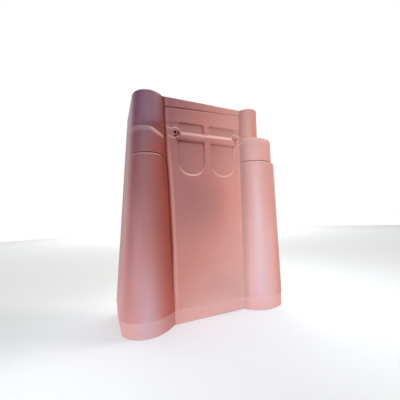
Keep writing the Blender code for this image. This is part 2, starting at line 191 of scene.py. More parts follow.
class ReliefShape(bpy.types.PropertyGroup):
    """What is moulded on the pan and behind it."""

    rim: length("Rim", "Height of the rim along the head", 0.0146)
    rim_slant: length("Rim slant", "How far the rim climbs from the middle to the verge", 0.0036)
    rim_rise: length("Rim rise", "How far the rim stands out", 0.0013)
    rim_run: length("Rim run", "How wide the rim's slope is", 0.0024)
    rim_groove: length("Rim groove", "Depth of the fine groove under the rim", 0.0007)
    rim_groove_drop: length("Groove drop", "From the rim's edge to that groove", 0.0017)
    rim_groove_width: length("Groove width", "How wide that groove is", 0.0010)
    pocket_drop: length("Pocket drop", "From the head to the pockets", 0.0455)
    pocket_height: length("Pocket height", "Height of the two pockets", 0.0175)
    pocket_depth: length("Pocket depth", "Depth of the two pockets at their top", 0.0046)
    pocket_corner: length("Pocket corner", "Radius of the pockets' corners", 0.005)
    pocket_bend: length("Pocket bend", "How far the left pocket's top falls towards the verge", 0.0030)
    pocket_reach: length("Pocket reach", "How far the right pocket reaches over the rib", 0.0034)
    bar_height: length("Bar height", "Height of the cross bar", 0.0192)
    bar_rise: length("Bar rise", "How far the cross bar stands out", 0.0040)
    rib: length("Rib", "Width of the rib between the recesses", 0.0155)
    rib_swell: length("Rib swell", "How far the rib rises to meet the bar", 0.0020)
    panel_height: length("Panel height", "Height of the two lower panels", 0.0658)
    panel_width: length("Panel width", "Width of the two lower panels", 0.0566)
    panel_depth: length("Panel depth", "Depth of the panels under the bar", 0.0042)
    panel_low: length("Panel low depth", "Depth of the panels at their foot", 0.0032)
    panel_lean: share("Panel lean", "How much shallower the panels are at their right", 0.30)
    panel_corner: length("Panel corner", "Radius of the panels' upper corners", 0.003)
    panel_rounding: length("Panel rounding", "Radius of the panels' lower corners", 0.026)
    wall_run: length("Wall run", "How wide the slopes of the recesses are", 0.0023)
    seam: length("Seam", "Rounding where the bar and the beads join the pan", 0.0008)
    ring_seam: length("Ring seam", "Rounding where the rings and the pad join it", 0.0010)
    nail_verge: length("Left nail", "From the verge roll's foot to the hole", 0.0198)
    nail_cover: length("Right nail", "From the cover roll's foot to the dimple", 0.0088)
    nail_drop: length("Nail drop", "From the top of the bar to the nail places", 0.0035)
    nail_hole: length("Nail hole", "Radius of the hole", 0.0026)
    dimple_depth: length("Dimple", "Depth of the closed nail place", 0.0035)
    boss: length("Boss", "Radius of the boss around the hole", 0.0060)
    boss_rise: length("Boss rise", "How far the boss stands out", 0.0022)
    dish: length("Dish", "Radius of the dish around the boss", 0.0096)
    dish_depth: length("Dish depth", "How far the dish lies behind the pan", 0.0018)
    ring: length("Ring", "Radius of the ring around the dish", 0.0132)
    ring_rise: length("Ring rise", "How far the ring stands out", 0.0020)
    pad: length("Pad", "Radius of the swelling between the hole and the verge roll", 0.0090)
    bead: length("Bead", "Radius of the beads beside the nail places", 0.0027)
    bead_rise: length("Bead rise", "How far those beads stand out", 0.0031)
    chamfer: length("Chamfer", "Width of the slope down to the verge roll", 0.0055)
    chamfer_drop: length("Chamfer drop", "Depth of that slope", 0.0009)
    crease: length("Crease", "Rounding where the rolls rise from the pan", 0.0011)
    scoop: length("Scoop", "Depth of the hollow above the verge collar", 0.0028)
    scoop_height: length("Scoop height", "Height of that hollow", 0.020)
    wave: length("Wave", "Slow unevenness of the pressed face", 0.00014)
    nib_width: length("Nib width", "Width of a hanging nib", 0.034)
    nib_rise: length("Nib rise", "How far the nibs stand out behind", 0.015)
    nib_thickness: length("Nib thickness", "Height of a nib", 0.020)
    nib_drop: length("Nib drop", "From the head to the nibs", 0.038)
    nib_spacing: length("Nib spacing", "From one nib's middle to the other's", 0.096)


class ClayLook(bpy.types.PropertyGroup):
    """The fired clay, and the colours that paint light and shade on it."""

    body: colour("Body", "The clay's own colour", (0.64, 0.232, 0.188))
    # Painted shade: the darker clay at the verge side's head, where shade falls.
    deep: colour("Deep", "Where the firing left it darker", (0.36, 0.110, 0.120))
    # Painted reflection: the violet stands in for a cool sheen at the verge side's head.
    violet: colour("Violet", "Where it is darkest, at the verge side's head", (0.34, 0.138, 0.205))
    # Painted light: the paler clay towards the right and the tail.
    pale: colour("Pale", "Where the firing left it paler", (0.80, 0.395, 0.340))
    band: colour("Band", "The paler clay of the tail band", (0.86, 0.44, 0.39))
    # Painted shade: the colour laid over creases and recesses, where shade falls.
    hollow: colour("Hollow", "The clay deep in its creases", (0.16, 0.030, 0.020))
    # Painted shade and warm bounce light: the red-brown multiplied over the verge roll's inner flank
    # and the cover roll's far flank.
    red_shade: colour("Lee", "What the verge roll's inner flank is tinted by", (0.83, 0.36, 0.25))
    # Painted highlight: the pale colour laid on walls and edges that face the light.
    painted_highlight: colour("Worn", "The clay on its worn edges", (0.92, 0.54, 0.46))
    # Painted highlight: the brighter colour laid on the strips beside the rolls' feet, the pan's right
    # and the verge roll's outer edge.
    painted_brightening: colour("Glow", "The brighter strips along the rolls' feet", (0.84, 0.34, 0.27))
    # Painted shade: the tint multiplied over the cover roll's foot and the recesses' floors, and over
    # the browner places.
    shade: colour("Shade", "What the cover roll's foot is tinted by", (0.72, 0.84, 0.90))
    # Painted reflection: the cool, pale sheen laid on the rolls' crests.
    bloom: colour("Bloom", "The cooler, paler bloom on the rolls", (0.69, 0.455, 0.51))
    # Painted shadow: the near-black laid inside the nail hole.
    bore_shadow: colour("Bore", "The dark inside of the nail hole", (0.004, 0.002, 0.002))
    # How steeply the painted light gradient runs across and along the tile.
    gradient_right: strength("Flash right", "How much paler the clay gets towards the right", 0.54)
    gradient_turn: strength("Flash turn", "How much more it does so at the head", 0.20)
    gradient_tail: strength("Flash tail", "How much paler the clay gets towards the tail", 0.28)
    gradient_ends: strength("Flash ends", "How much paler it gets towards both ends", 0.20)
    roughness: share("Roughness", "Roughness of the pressed face", 0.46)
    gloss: share("Gloss", "Sheen of the pressed face outside its creases", 0.8)
    grain: length("Grain", "Height of the clay's fine grain", 0.00005)
    drag: length("Drag", "Height of the faint marks along the tile", 0.00006)


class PaintedLightMarks(bpy.types.PropertyGroup):
    """How strongly light and shade are painted on each part of the tile, with a few browner and redder
    tones.
    """

    # Painted shade: the dark line along the verge roll's foot.
    foot_shade: share("Dark foot", "How dark the line along the verge roll's foot is", 0.8)
    foot_swing: length("Foot swing", "How far that line swings onto the pan in its middle", 0.0022)
    # Painted highlights: the bright strips beside the rolls' feet.
    left_strip: length("Left strip", "From that line to the bright strip beside it", 0.0064)
    right_strip: length("Right strip", "From the cover roll's foot to its bright strip", 0.0010)
    # Painted warm light on the cover roll's far flank.
    flank_red_low: share("Red flank, low", "How red the cover roll's far flank is below", 0.80)
    flank_red_high: share("Red flank, high", "How red that flank is above", 0.38)
    # Painted light: the pan's brighter right.
    pan_glow: share("Pan glow", "How much brighter the pan is at its right", 0.45)
    corner_red: share("Corner red", "How much redder the pan's lower right is", 0.15)
    # Painted light on the verge roll's outer edge, kept redder at the head.
    edge_glow: share("Edge glow", "How much brighter the verge roll's outer edge is", 0.35)
    head_red: share("Head red", "How red that edge is at the head", 0.35)
    spigot_red: share("Spigot red", "How red the cover roll's spigot is", 0.18)
    band_red: share("Band red", "How much of the red the tail band keeps", 0.42)
    # How much of the painted sheen and shade the tail band keeps.
    band_sheen_left: strength("Band bloom, left", "How much of the bloom it keeps there", 1.1)
    band_sheen_right: strength("Band bloom, right", "How much of the bloom it keeps there", 0.35)
    pan_brown: share("Pan brown", "How much browner the middle of the pan is", 0.40)
    corner_brown: share("Corner brown", "How much browner its lower right is", 0.35)
    verge_brown: share("Verge brown", "How much browner the verge roll's middle is", 0.45)
    # Painted shade on the recesses' floors.
    floor_shade: share("Floor brown", "How much browner the recesses' floors are", 0.30)
    # Painted light and shade on the relief's walls by the way they face, and painted highlights on the
    # rolls' upper edges, the beads and the collars' lips.
    to_head: share("Towards the head", "How much paler a wall is that faces the head", 0.90)
    to_right: share("Towards the right", "How much paler a wall is that faces right", 0.30)
    aside: share("Sideways", "How much darker a wall is that faces either side", 0.45)
    wall_light: strength("Wall wear", "How strongly the paler walls show", 2.3)
    roll_light: strength("Roll wear", "How pale the rolls' upper edges are", 1.3)
    bead_light: strength("Bead wear", "How pale the beads beside the nail places are", 1.1)
    # Painted highlights on the collars' lips and the bands below them.
    verge_lip: share("Verge lip", "How pale the verge collar's lip is", 0.75)
    verge_lip_band: share("Verge lip band", "How pale the band below that lip is", 0.30)
    cover_lip: share("Cover lip", "How pale the cover collar's lip is", 0.55)
    cover_lip_band: share("Cover lip band", "How pale the band below that lip is", 0.22)
    # Painted shade in the hollow above the verge collar, in the groove under the rim and high on the
    # verge roll's inner flank.
    scoop_shade: share("Dark scoop", "How dark the hollow above the verge collar is", 0.42)
    rim_shade: share("Dark rim line", "How dark the groove under the rim is", 0.38)
    flank_shade: share("Dark flank", "How dark the verge roll's inner flank is above", 0.33)


class StudioLook(bpy.types.PropertyGroup):
    """Floor, lights and camera."""

    floor_radius: length("Floor radius", "Radius of the round floor", 4.0)
    floor_colour: colour("Floor colour", "The pale floor", (0.95, 0.985, 0.975))
    behind: strength("Behind", "Brightness of the air behind the tile", 1.0)
    around: strength("Around", "Brightness of the air everywhere else", 0.06)
    key: power("Key light", "The broad warm light high at the right", 0.3)
    top: power("Top light", "The small light high above the tile", 2.5)
    fill: power("Fill light", "The small cool light low at the left", 0.85)
    sheen: power("Sheen light", "The narrow light from the front, on the cover roll", 0.42)
    high: power("High light", "The narrow light from high at the left", 0.33)
    low: power("Low light", "The narrow light on the verge roll's tail", 0.22)
    ground: power("Ground light", "The broad light on the floor behind the tile", 60.0)
    camera: bpy.props.FloatVectorProperty(
        name="Camera", description="Where the camera stands", size=3,
        default=(-0.1945, -0.4484, 0.2005), subtype="TRANSLATION", unit="LENGTH")
    heading: bpy.props.FloatProperty(
        name="Heading", description="Turn of the camera to the right of +Y",
        default=math.radians(23.553), subtype="ANGLE", unit="ROTATION")
    roll: bpy.props.FloatProperty(
        name="Roll", description="Tilt of the camera about its own line of sight",
        default=math.radians(-2.493), subtype="ANGLE", unit="ROTATION")
    lens: bpy.props.FloatProperty(
        name="Lens", description="Focal length", default=19.44, min=1.0,
        subtype="DISTANCE_CAMERA", unit="CAMERA")
    shift: bpy.props.FloatProperty(
        name="Shift", description="Upward shift of the lens", default=0.0503)


def cover_line(s):
    """The height up to which the next tile's tail leaves this one bare, below collar and spigot."""
    return s.length - s.spigot - s.collar


def roll_top(s):
    """The height where the rolls' own lips end, just below the cover line."""
    return cover_line(s) - s.line_drop


def collar_top(s):
    """The height where the collars end and the spigots begin."""
    return s.length - s.spigot


def between(z, tail, cover, s):
    """A size on the straight line from its value at the tail to its value at the cover line."""
    return tail + (cover - tail) * z / cover_line(s)


def pan_half(z, s):
    """Half the pan's width, which grows in a straight line from the tail up."""
    return between(z, s.pan_tail, s.pan_cover, s) / 2


def eased(t):
    """Smooth step: 3 t squared - 2 t cubed, with t held between 0 and 1."""
    t = np.clip(t, 0.0, 1.0)
    return t * t * (3.0 - 2.0 * t)


def inside(distance, run):
    """1 where the signed distance is well below 0, 0 well above it, eased over the run."""
    return eased(0.5 - distance / run)


def plateau(z, *corners):
    """1 between the middle two of four heights, falling in straight lines to 0 at the outer two."""
    return np.interp(z, corners, [0.0, 1.0, 1.0, 0.0])


def hill(value, middle, width):
    """e to the power of minus the square of (value - middle) / width, so 1 in the middle."""
    return np.exp(-((value - middle) / width) ** 2)


def higher(a, b, soft):
    """The higher of two surfaces with a rounded seam: half of a + b + root((a-b)^2 + soft^2)."""
    return 0.5 * (a + b + np.sqrt((a - b) ** 2 + soft ** 2))


def flank(foot, crest, shape, turns):
    """A roll's flank for a column of heights and a row of turns, from foot at 0 to crest at a quarter.

    With u the cosine of the turn, the point stands at (1 - u ** fullness) ** squareness of the way
    up and at u of the way out to the foot.
    """
    fullness, squareness = shape
    u = np.maximum(0.0, np.cos(turns))[None, :]
    rise = np.maximum(0.0, 1.0 - u ** fullness) ** squareness
    return crest[0] + u * (foot[0] - crest[0]), foot[1] + rise * (crest[1] - foot[1])


def roll_sizes(z, part, s):
    """Width and height of both rolls at the heights z on the roll, the collar or the spigot."""
    tuck = s.tail_tuck * np.maximum(0.0, 1.0 - z / s.band)
    verge_width = between(z, s.verge_width_tail, s.verge_width_cover, s) - tuck
    verge_height = between(z, s.verge_height_tail, s.verge_height_cover, s)
    cover_width = between(z, s.cover_width_tail, s.cover_width_cover, s)
    cover_height = between(z, s.cover_height_tail, s.cover_height_cover, s)
    if part == "collar":
        verge_height = verge_height - s.collar_step
        cover_width = cover_width - s.collar_side
        cover_height = cover_height - s.collar_step
    if part == "spigot":
        verge_height = s.verge_spigot + 0.0 * z
        cover_width = s.cover_spigot_width + 0.0 * z
        cover_height = s.cover_spigot + 0.0 * z
    return verge_width, verge_height, cover_width, cover_height


def flange_edge(z, outer, s):
    """The flange's back edge at heights z: a quarter of an ellipse takes off its tail corner."""
    up = np.clip(1.0 - z / s.flange_corner, 0.0, 1.0)
    depth = s.flange - s.flange_corner_depth * (1.0 - np.sqrt(1.0 - up * up))
    splay = s.flange_splay - (s.flange_splay + s.flange_toe_in) * z / s.length
    return outer - splay, depth


def knots(*runs):
    """One rising row of values out of (end, step) runs after a first value."""
    start, values = runs[0], []
    for end, step in runs[1:]:
        count = max(1, round((end - start) / step))
        values.append(start + (end - start) * np.arange(count) / count)
        start = end
    return np.concatenate(values + [[start]])


def pan_columns(s, r):
    """Places across the pan, and how far each column goes with a roll's foot: -1 verge, 1 cover.

    The columns of the core run straight up, closest where the relief's walls are. The core ends a
    margin inside the pan's edges at the tail.
    """
    core = pan_half(0.0, s) - PAN_MARGIN
    left, right = nail_places(s, r)
    rib_left, rib_right = rib_edges(s, r)
    run = r.wall_run
    x = knots(
        -core, (left + r.ring + run, 0.0009), (rib_left - run, 0.0014), (rib_left + run, 0.0006),
        (rib_right - run, 0.0015), (rib_right + run, 0.0006), (right - r.ring - run, 0.0014),
        (core, 0.0009))
    out = knots(0.0, (0.7, 0.12), (1.0, 0.06))[1:]
    zero = np.zeros(len(out))
    return (np.concatenate([zero - core, x, zero + core]),
            np.concatenate([-out[::-1], np.zeros(len(x)), out]))


def nail_places(s, r):
    """Where the hole and the dimple are across the pan, counted from the two rolls' feet."""
    half = pan_half(nail_height(s, r), s)
    return -half + r.nail_verge, half - r.nail_cover


def rib_edges(s, r):
    """The rib's left and right edge, half its width from the middle of the two nail places."""
    middle = sum(nail_places(s, r)) / 2
    return middle - r.rib / 2, middle + r.rib / 2


def bar_top(s, r):
    """The height of the cross bar's top, which is the pockets' foot."""
    return s.length - r.pocket_drop - r.pocket_height


def nail_height(s, r):
    """The height of both nail places, a little below the bar's top."""
    return bar_top(s, r) - r.nail_drop


def face_rows(s, r):
    """Heights of the rings on the weather face between the two arrises, closest where it is carved.

    Each pair is the height where a stretch of even steps ends, and about how long its steps are.
    """
    top, line = collar_top(s), roll_top(s)
    bar, head = bar_top(s, r), s.length
    panel = bar - r.bar_height - r.panel_height
    nib_top, nib_foot = (
        top + (head - top) * (1.0 - drop / (head - top + s.wall))
        for drop in (r.nib_drop, r.nib_drop + r.nib_thickness))
    rim = head - r.rim
    pocket = head - r.pocket_drop
    low = knots(
        s.arris, (0.006, 0.0011), (s.band - 0.003, 0.0032), (s.band - 0.0006, 0.0008),
        (s.band + 0.0006, 0.0002), (s.band + 0.004, 0.0011), (panel - 0.004, 0.0055),
        (panel + 0.022, 0.0012), (line - 0.0065, 0.0014), (line - 0.0018, 0.00075),
        (line + 0.0015, 0.00035), (line + 0.0035, 0.0008), (bar - r.bar_height - 0.004, 0.0024),
        (bar - r.bar_height + 0.004, 0.0009), (top - s.lip, 0.0009))
    high = knots(
        top + s.crevice, (pocket - 0.0040, 0.0010), (pocket + 0.0022, 0.0008),
        (nib_top - 0.0026, 0.0024), (nib_top + 0.0026, 0.00075), (rim - 0.0030, 0.0024),
        (rim + 0.0014, 0.00055), (head - s.arris, 0.0026))
    nib = nib_foot + np.linspace(-0.0026, 0.0026, 9)
    high = np.concatenate([high[(high < nib[0]) | (high > nib[-1])], nib])
    return low[:-1], np.sort(high)[1:]


def rings(s, r):
    """The rings from the tail to the head, as a dict of columns with one value for each ring.

    face and back are the heights on the weather face and on the underside; inset is how far the
    ring draws in at an arris; flat is the share of the collar's flat top that it lies on, nook how
    far it stands off the spigot in the crevice's rounding, and turn its turn on the collar's lip, a
    quarter turn anywhere below. The lip's rings stand at even steps of 1 - cosine, with two more
    near its edge.
    """
    low, high = face_rows(s, r)
    top = collar_top(s)
    bend = np.linspace(0.0, QUARTER, 5)
    turn = np.arccos(1.0 - np.linspace(1.0, 0.0, 10))
    turn = np.sort(np.append(turn, [0.15, 0.30]))[::-1]
    flat = np.array([0.85, 0.5, 0.25, 0.08])
    nook = np.linspace(0.0, QUARTER, 4)
    lip_face = top - s.lip_crevice - (s.lip - s.lip_crevice) * (1.0 - np.cos(turn))
    flat_face = top - s.lip_crevice * flat
    nook_face = top + s.crevice * (1.0 - np.cos(nook))
    cap_inset = s.arris + 0.0009
    face = np.concatenate([
        [0.0], s.arris * (1.0 - np.cos(bend)), low[1:], lip_face, flat_face, nook_face, high[:-1],
        s.length - s.arris * (1.0 - np.cos(bend[::-1])), [s.length]])
    inset = np.zeros(len(face))
    inset[0] = inset[-1] = cap_inset
    inset[1:6] = s.arris * (1.0 - np.sin(bend))
    inset[-6:-1] = inset[5:0:-1]
    first = 6 + len(low) - 1
    turns = np.full(len(face), QUARTER)
    turns[first:] = 0.0
    turns[first:first + len(turn)] = turn
    flats = np.zeros(len(face))
    flats[:first + len(turn)] = 1.0
    second = first + len(turn)
    flats[second:second + len(flat)] = flat
    nooks = np.zeros(len(face))
    third = second + len(flat)
    nooks[third:third + len(nook)] = s.crevice * (1.0 - np.sin(nook))
    nooks[:third] = s.crevice
    line = cover_line(s)
    back = np.interp(
        face, [0.0, line + s.roll_lip, top - s.lip, top, s.length],
        [0.0, line + s.roll_lip, top - s.lip - s.wall, top - s.wall, s.length])
    made = {"face": face, "back": back, "inset": inset, "flat": flats, "nook": nooks, "turn": turns}
    return {name: values[:, None] for name, values in made.items()}


def stepped(z, outline, ring, s, lip_share=1.0):
    """Joins an outline's spigot, collar and roll.

    From the spigot out to the collar a point goes by its own reach: along the flat first, then
    round the lip, where it lacks the rounding times (1 - sine of the turn). From the collar to the
    roll it goes as a quarter of an ellipse over the roll's lip, with a fine groove above it.
    """
    spigot, collar, roll = (outline(z, part) for part in ("spigot", "collar", "roll"))
    reach = np.hypot(collar[0] - spigot[0], collar[1] - spigot[1])
    rounding = np.minimum(s.lip * lip_share, reach * (1.0 - s.lip_start))
    rounding = rounding * (1.0 - np.sin(ring["turn"]))
    out = np.maximum(reach - rounding, 0.0) * ring["flat"]
    out = np.where(ring["flat"] > 0.0, out, np.minimum(ring["nook"], 0.3 * reach))
    share_out = np.where(reach > 1e-7, out / np.maximum(reach, 1e-7), ring["flat"])
    above = z - roll_top(s)
    rest = np.clip(above / s.roll_lip + 1.0, 0.0, 1.0)
    step = np.sqrt(1.0 - rest ** 2) - s.groove * hill(above, 0.0, s.line_width) * (rest == 1.0)
    joined = []
    for inner, middle, outer in zip(spigot, collar, roll):
        value = inner + (middle - inner) * share_out
        joined.append(value + (outer - middle) * step)
    return joined


def below_rim(x, z, s, r):
    """How far a point lies below the rim's slanted edge."""
    return s.length - r.rim + r.rim_slant * x / pan_half(s.length, s) - z


def relief(x, z, s, r):
    """How far the pan's face stands out at (x, z): the rim with the fine groove under it, less the
    recesses, with the bar and the nail places joined to that by rounded seams."""
    under_rim = below_rim(x, z, s, r)
    out = r.rim_rise * inside(under_rim, r.rim_run)
    out = out - r.rim_groove * hill(under_rim, r.rim_groove_drop, r.rim_groove_width)
    out = out - pocket_depths(x, z, s, r) - panel_depths(x, z, s, r)
    return with_nail_places(with_bar(out, x, z, s, r), x, z, s, r)


def pocket_depths(x, z, s, r):
    """How deep the pockets are: rounded boxes with eased walls, deepest at the top.

    They get shallower towards the nail places, and the left one's top edge bends down there.
    """
    rib_left, rib_right = rib_edges(s, r)
    left, right = nail_places(s, r)
    bar, edge = bar_top(s, r), pan_half(s.length, s)
    bend_start, bend_run, left_run, right_run = 0.040, 0.036, 0.018, 0.014
    bent = z + r.pocket_bend * eased((rib_left - bend_start - x) / bend_run)
    boxes = np.minimum(*(
        rounded_box(x, bent, start, end, bar - r.pocket_depth, s.length - r.pocket_drop,
                    r.pocket_corner, r.pocket_corner)
        for start, end in ((-edge, rib_left), (rib_right - r.pocket_reach, edge))))
    full = np.minimum(eased((x - left - 0.002) / left_run), eased((right + 0.002 - x) / right_run))
    slope = 0.65 + 0.35 * eased((bent - bar) / r.pocket_height)
    return r.pocket_depth * slope * inside(boxes, r.wall_run * 1.6) * (0.3 + 0.7 * full)


def panel_depths(x, z, s, r):
    """How deep the panels are: rounded boxes with eased walls, wider at their foot.

    They get deeper from their foot up to the bar, and shallower towards their right.
    """
    rib_left, rib_right = rib_edges(s, r)
    top = bar_top(s, r) - r.bar_height
    foot = top - r.panel_height
    starts = (rib_left - r.panel_width, rib_right)
    boxes = np.minimum(*(
        rounded_box(x, z, start, start + r.panel_width, foot, top + r.panel_depth,
                    r.panel_rounding, r.panel_corner)
        for start in starts))
    depth = r.panel_low + (r.panel_depth - r.panel_low) * eased((z - foot) / r.panel_height)
    start = np.where(x < (rib_left + rib_right) / 2, *starts)
    lean = 1.0 - r.panel_lean * np.clip((x - start) / r.panel_width, 0.0, 1.0)
    run = r.wall_run * (1.0 + 0.7 * eased((foot + r.panel_rounding - z) / r.panel_rounding))
    return depth * lean * inside(boxes, run)


def with_bar(out, x, z, s, r):
    """Adds the rib's swell, a hill along its height, and the bar, whose section is half an ellipse."""
    rib_left, rib_right = rib_edges(s, r)
    left, right = nail_places(s, r)
    middle, half = bar_top(s, r) - r.bar_height / 2, r.bar_height / 2
    across = np.maximum(rib_left - x, x - rib_right)
    out = out + r.rib_swell * inside(across, r.wall_run) * hill(z, middle, 1.25 * r.bar_height)
    root = np.where(z > middle, r.pocket_depth, r.panel_depth)
    arch = np.sqrt(np.maximum(0.0, 1.0 - ((z - middle) / half) ** 2))
    ends = inside(np.maximum(left - x, x - right), 0.004)
    return raised(out, arch * ends, r.bar_rise, root, r.seam)


def with_nail_places(out, x, z, s, r):
    """Adds the pad between the hole and the verge roll, the beads, and the two nail places.

    Around each nail place lie a ring, a dish, a boss and the start of the hole, or the dimple. Each
    is full within its radius and eases out beyond it. The dish lies on one side alone, where the
    cosine between its own way and the way to the point is large.
    """
    nail = nail_height(s, r)
    left, right = nail_places(s, r)
    pad_line = (-pan_half(nail, s) - 0.002, nail + 0.002, left - 0.004, nail - 0.002)
    pad = inside(to_segment(x, z, *pad_line) - r.pad, 0.006)
    out = raised(out, pad, 0.7 * r.ring_rise, r.pocket_depth, r.ring_seam)
    for ends in beads(s, r):
        bead = inside(to_segment(x, z, *ends) - r.bead / 2, 2.0 * r.bead)
        out = raised(out, bead, r.bead_rise, r.pocket_depth, r.seam)
    for place, way, depth in ((left, (0.8, -0.6), 0.0), (right, (-0.95, -0.3), r.dimple_depth)):
        away = np.hypot(x - place, z - nail)
        ring = inside(away - r.ring + 0.0020, 0.0056)
        out = raised(out, ring, r.ring_rise, r.pocket_depth, r.ring_seam)
        toward = ((x - place) * way[0] + (z - nail) * way[1]) / np.maximum(away, 1e-6)
        bowl = inside(away - r.dish, 0.0028) * eased((toward + 0.2) / 0.9)
        out = out - (out + r.dish_depth) * bowl
        boss = inside(away - r.boss + 0.0010, 0.0036)
        out = out + (r.boss_rise - np.minimum(out, r.boss_rise)) * boss
        out = out - inside(away - r.nail_hole, 0.0012) * (0.0006 + depth)
    return out


def beads(s, r):
    """The ends of the three beads beside the nail places, as x, z, x, z."""
    nail = nail_height(s, r)
    verge_foot, cover_foot = -pan_half(nail, s), pan_half(nail, s)
    left, right = nail_places(s, r)
    return (
        (verge_foot - 0.001, nail - 0.0055, left - 0.001, nail - r.ring + 0.0012),
        (cover_foot - 0.0035, nail + 0.0075, cover_foot + 0.004, nail + 0.0050),
        (right + 0.0055, nail - r.ring + 0.0022, cover_foot + 0.002, nail - 0.0085),
    )


def raised(out, amount, rise, floor, soft):
    """Joins a form to the relief: it goes from the floor at amount 0 up to the rise at amount 1."""
    return higher(out, (rise + floor) * amount - floor, soft)


def rounded_box(x, z, left, right, bottom, top, low_radius, high_radius):
    """Signed distance to a rectangle whose lower and upper corners have radii of their own."""
    up = z - (bottom + top) / 2
    radius = np.where(up < 0.0, low_radius, high_radius)
    dx = np.abs(x - (left + right) / 2) - (right - left) / 2 + radius
    dz = np.abs(up) - (top - bottom) / 2 + radius
    return np.minimum(np.maximum(dx, dz), 0.0) + np.hypot(
        np.maximum(dx, 0.0), np.maximum(dz, 0.0)) - radius


def to_segment(x, z, x0, z0, x1, z1):
    """Distance to the straight line between two points."""
    dx, dz = x1 - x0, z1 - z0
    along = np.clip(((x - x0) * dx + (z - z0) * dz) / (dx * dx + dz * dz), 0.0, 1.0)
    return np.hypot(x - x0 - along * dx, z - z0 - along * dz)


def wave(x, z, r):
    """Slow unevenness: the sum of three crossing waves, the first of them a product of two sines.

    Each length in it is a wave's own over two pi, so they are between 66 and 220 mm long.
    """
    return r.wave * (
        np.sin(x / 0.0125 + 1.3) * np.sin(z / 0.0210 + 0.4)
        + np.sin(x / 0.0190 - z / 0.0240 + 2.1) + 0.6 * np.sin(z / 0.0105 + x / 0.035))


def section_columns(outer, inner, cover):
    """Where the columns are on the section: shares of the flange from its edge, then turns.

    The verge roll's outer flank, its inner flank and each of the cover roll's two flanks is a
    quarter turn, in that many even parts.
    """
    return (np.arange(FLANGE_COLUMNS) / FLANGE_COLUMNS, QUARTER * np.arange(1, outer) / outer,
            QUARTER * np.arange(inner, -1, -1) / inner, QUARTER * np.arange(cover + 1) / cover,
            QUARTER * np.arange(cover - 1, -1, -1) / cover)


def section(z, part, wall, columns, pan, rise_shape, s):
    """One side of the tile's section, as x and y: flange, verge roll, pan and cover roll.

    The wall is 0 for the weather face, and the underside lies a wall's thickness in. A column of
    the pan stands at its own place, or its share of the way from there to a roll's foot.
    """
    flange, outer_turns, inner_turns, rise_turns, fall_turns = columns
    place, edge = pan
    verge_width, verge_height, cover_width, cover_height = roll_sizes(z, part, s)
    half = pan_half(z, s)
    start = half + (s.spigot_gap if part == "spigot" else 0.0)
    outer, free = -half - verge_width + wall, start + cover_width - wall
    crest = (-half - s.crest * verge_width, wall - verge_height)
    cover_crest = (start + cover_width / 2, wall - cover_height)
    verge_foot = -half - wall * (math.sqrt(2.0) - 1.0)
    cover_foot = start + wall
    level = wall + 0.0 * z
    edge_x, depth = flange_edge(z, outer, s)
    depth = depth - s.free_edge
    foot = np.where(edge < 0.0, verge_foot, cover_foot)
    parts = (
        (edge_x + (outer - edge_x) * flange, depth + (s.verge_shoulder - depth) * flange),
        flank((outer, s.verge_shoulder), crest, VERGE_OUTER, outer_turns),
        flank((verge_foot, level), crest, VERGE_FLANK, inner_turns),
        (place + np.abs(edge) * (foot - place), level + 0.0 * place),
        flank((cover_foot, level), cover_crest, rise_shape, rise_turns),
        flank((free, 0.0 * z), cover_crest, ROUND, fall_turns),
        (free + 0.0 * z, s.cover_edge - s.free_edge + 0.0 * z))
    return [np.concatenate([p[axis] for p in parts], axis=1) for axis in (0, 1)]


def stations(columns, pan, s):
    """How far along the section each column is: 1 for each of the flange, the two flanks of the
    verge roll, the pan and the two flanks of the cover roll. Caps match their two sides by it."""
    flange, outer_turns, inner_turns, rise_turns, fall_turns = columns
    place, edge = pan
    x = place + np.abs(edge) * (np.sign(edge) * pan_half(0.0, s) - place)
    return np.concatenate([
        flange, 1.0 + outer_turns / QUARTER, 3.0 - inner_turns / QUARTER,
        3.0 + (x / s.pan_tail + 0.5), 4.0 + rise_turns / QUARTER, 6.0 - fall_turns / QUARTER, [6.01]])


def weather_face(ring, s, r):
    """Points of the weather face, as x, y and z arrays of rings by columns, and how far each lies
    in the painted shade line above a roll's or a collar's top.

    The columns run from the flange's edge over the verge roll, the pan and the cover roll to the
    free edge. The relief stands on the pan, and joins the rolls' feet with a rounded seam.
    """
    z = ring["face"]
    columns = section_columns(outer=25, inner=26, cover=26)
    pan_places = pan_columns(s, r)
    flange, outer_turns, inner_turns, rise_turns, _ = columns
    place, edge = pan_places
    station = stations(columns, pan_places, s)
    verge_start = len(flange) + len(outer_turns)
    pan = slice(verge_start + len(inner_turns), verge_start + len(inner_turns) + len(place))
    on_cover = np.ones(len(station) - pan.stop)
    lip_share = np.concatenate([np.ones(pan.stop), s.cover_lip * on_cover])

    def outline(z, part):
        return section(z, part, 0.0, columns, pan_places, COVER_FLANK, s)

    x, y = stepped(z, outline, ring, s, lip_share)
    moved = moved_heights(
        z, np.concatenate([0.0 * flange - 1.0, -np.cos(outer_turns), np.cos(inner_turns),
                           eased(-edge), 0.0 * on_cover]),
        np.concatenate([np.zeros(pan.start), eased(edge), on_cover]), s)
    rim = s.length - r.rim
    slant = plateau(z, rim - 0.020, rim - 0.003, rim + 0.0015, s.length - 0.0015)
    moved = moved + r.rim_slant * slant * np.clip(x / pan_half(s.length, s), -1.0, 1.0)

    half, roll = pan_half(z, s), -y
    roll[:, pan] = np.maximum(VERGE_FOOT_SLOPE * (-half - x[:, pan]),
                              COVER_FOOT_SLOPE * (x[:, pan] - x[:, pan.stop, None]))
    seam = slice(verge_start, pan.stop + len(rise_turns))
    face = relief(x[:, seam], moved[:, seam], s, r)
    face = face - r.chamfer_drop * eased(1.0 - (x[:, seam] + half) / r.chamfer)
    y[:, seam] = -higher(face, roll[:, seam], r.crease)
    y = y + scooped(x, z, ring, s, r) - wave(x, moved, r) * (y < 0.0)
    return x, y, moved, shade_lines(z, columns, place, s), station


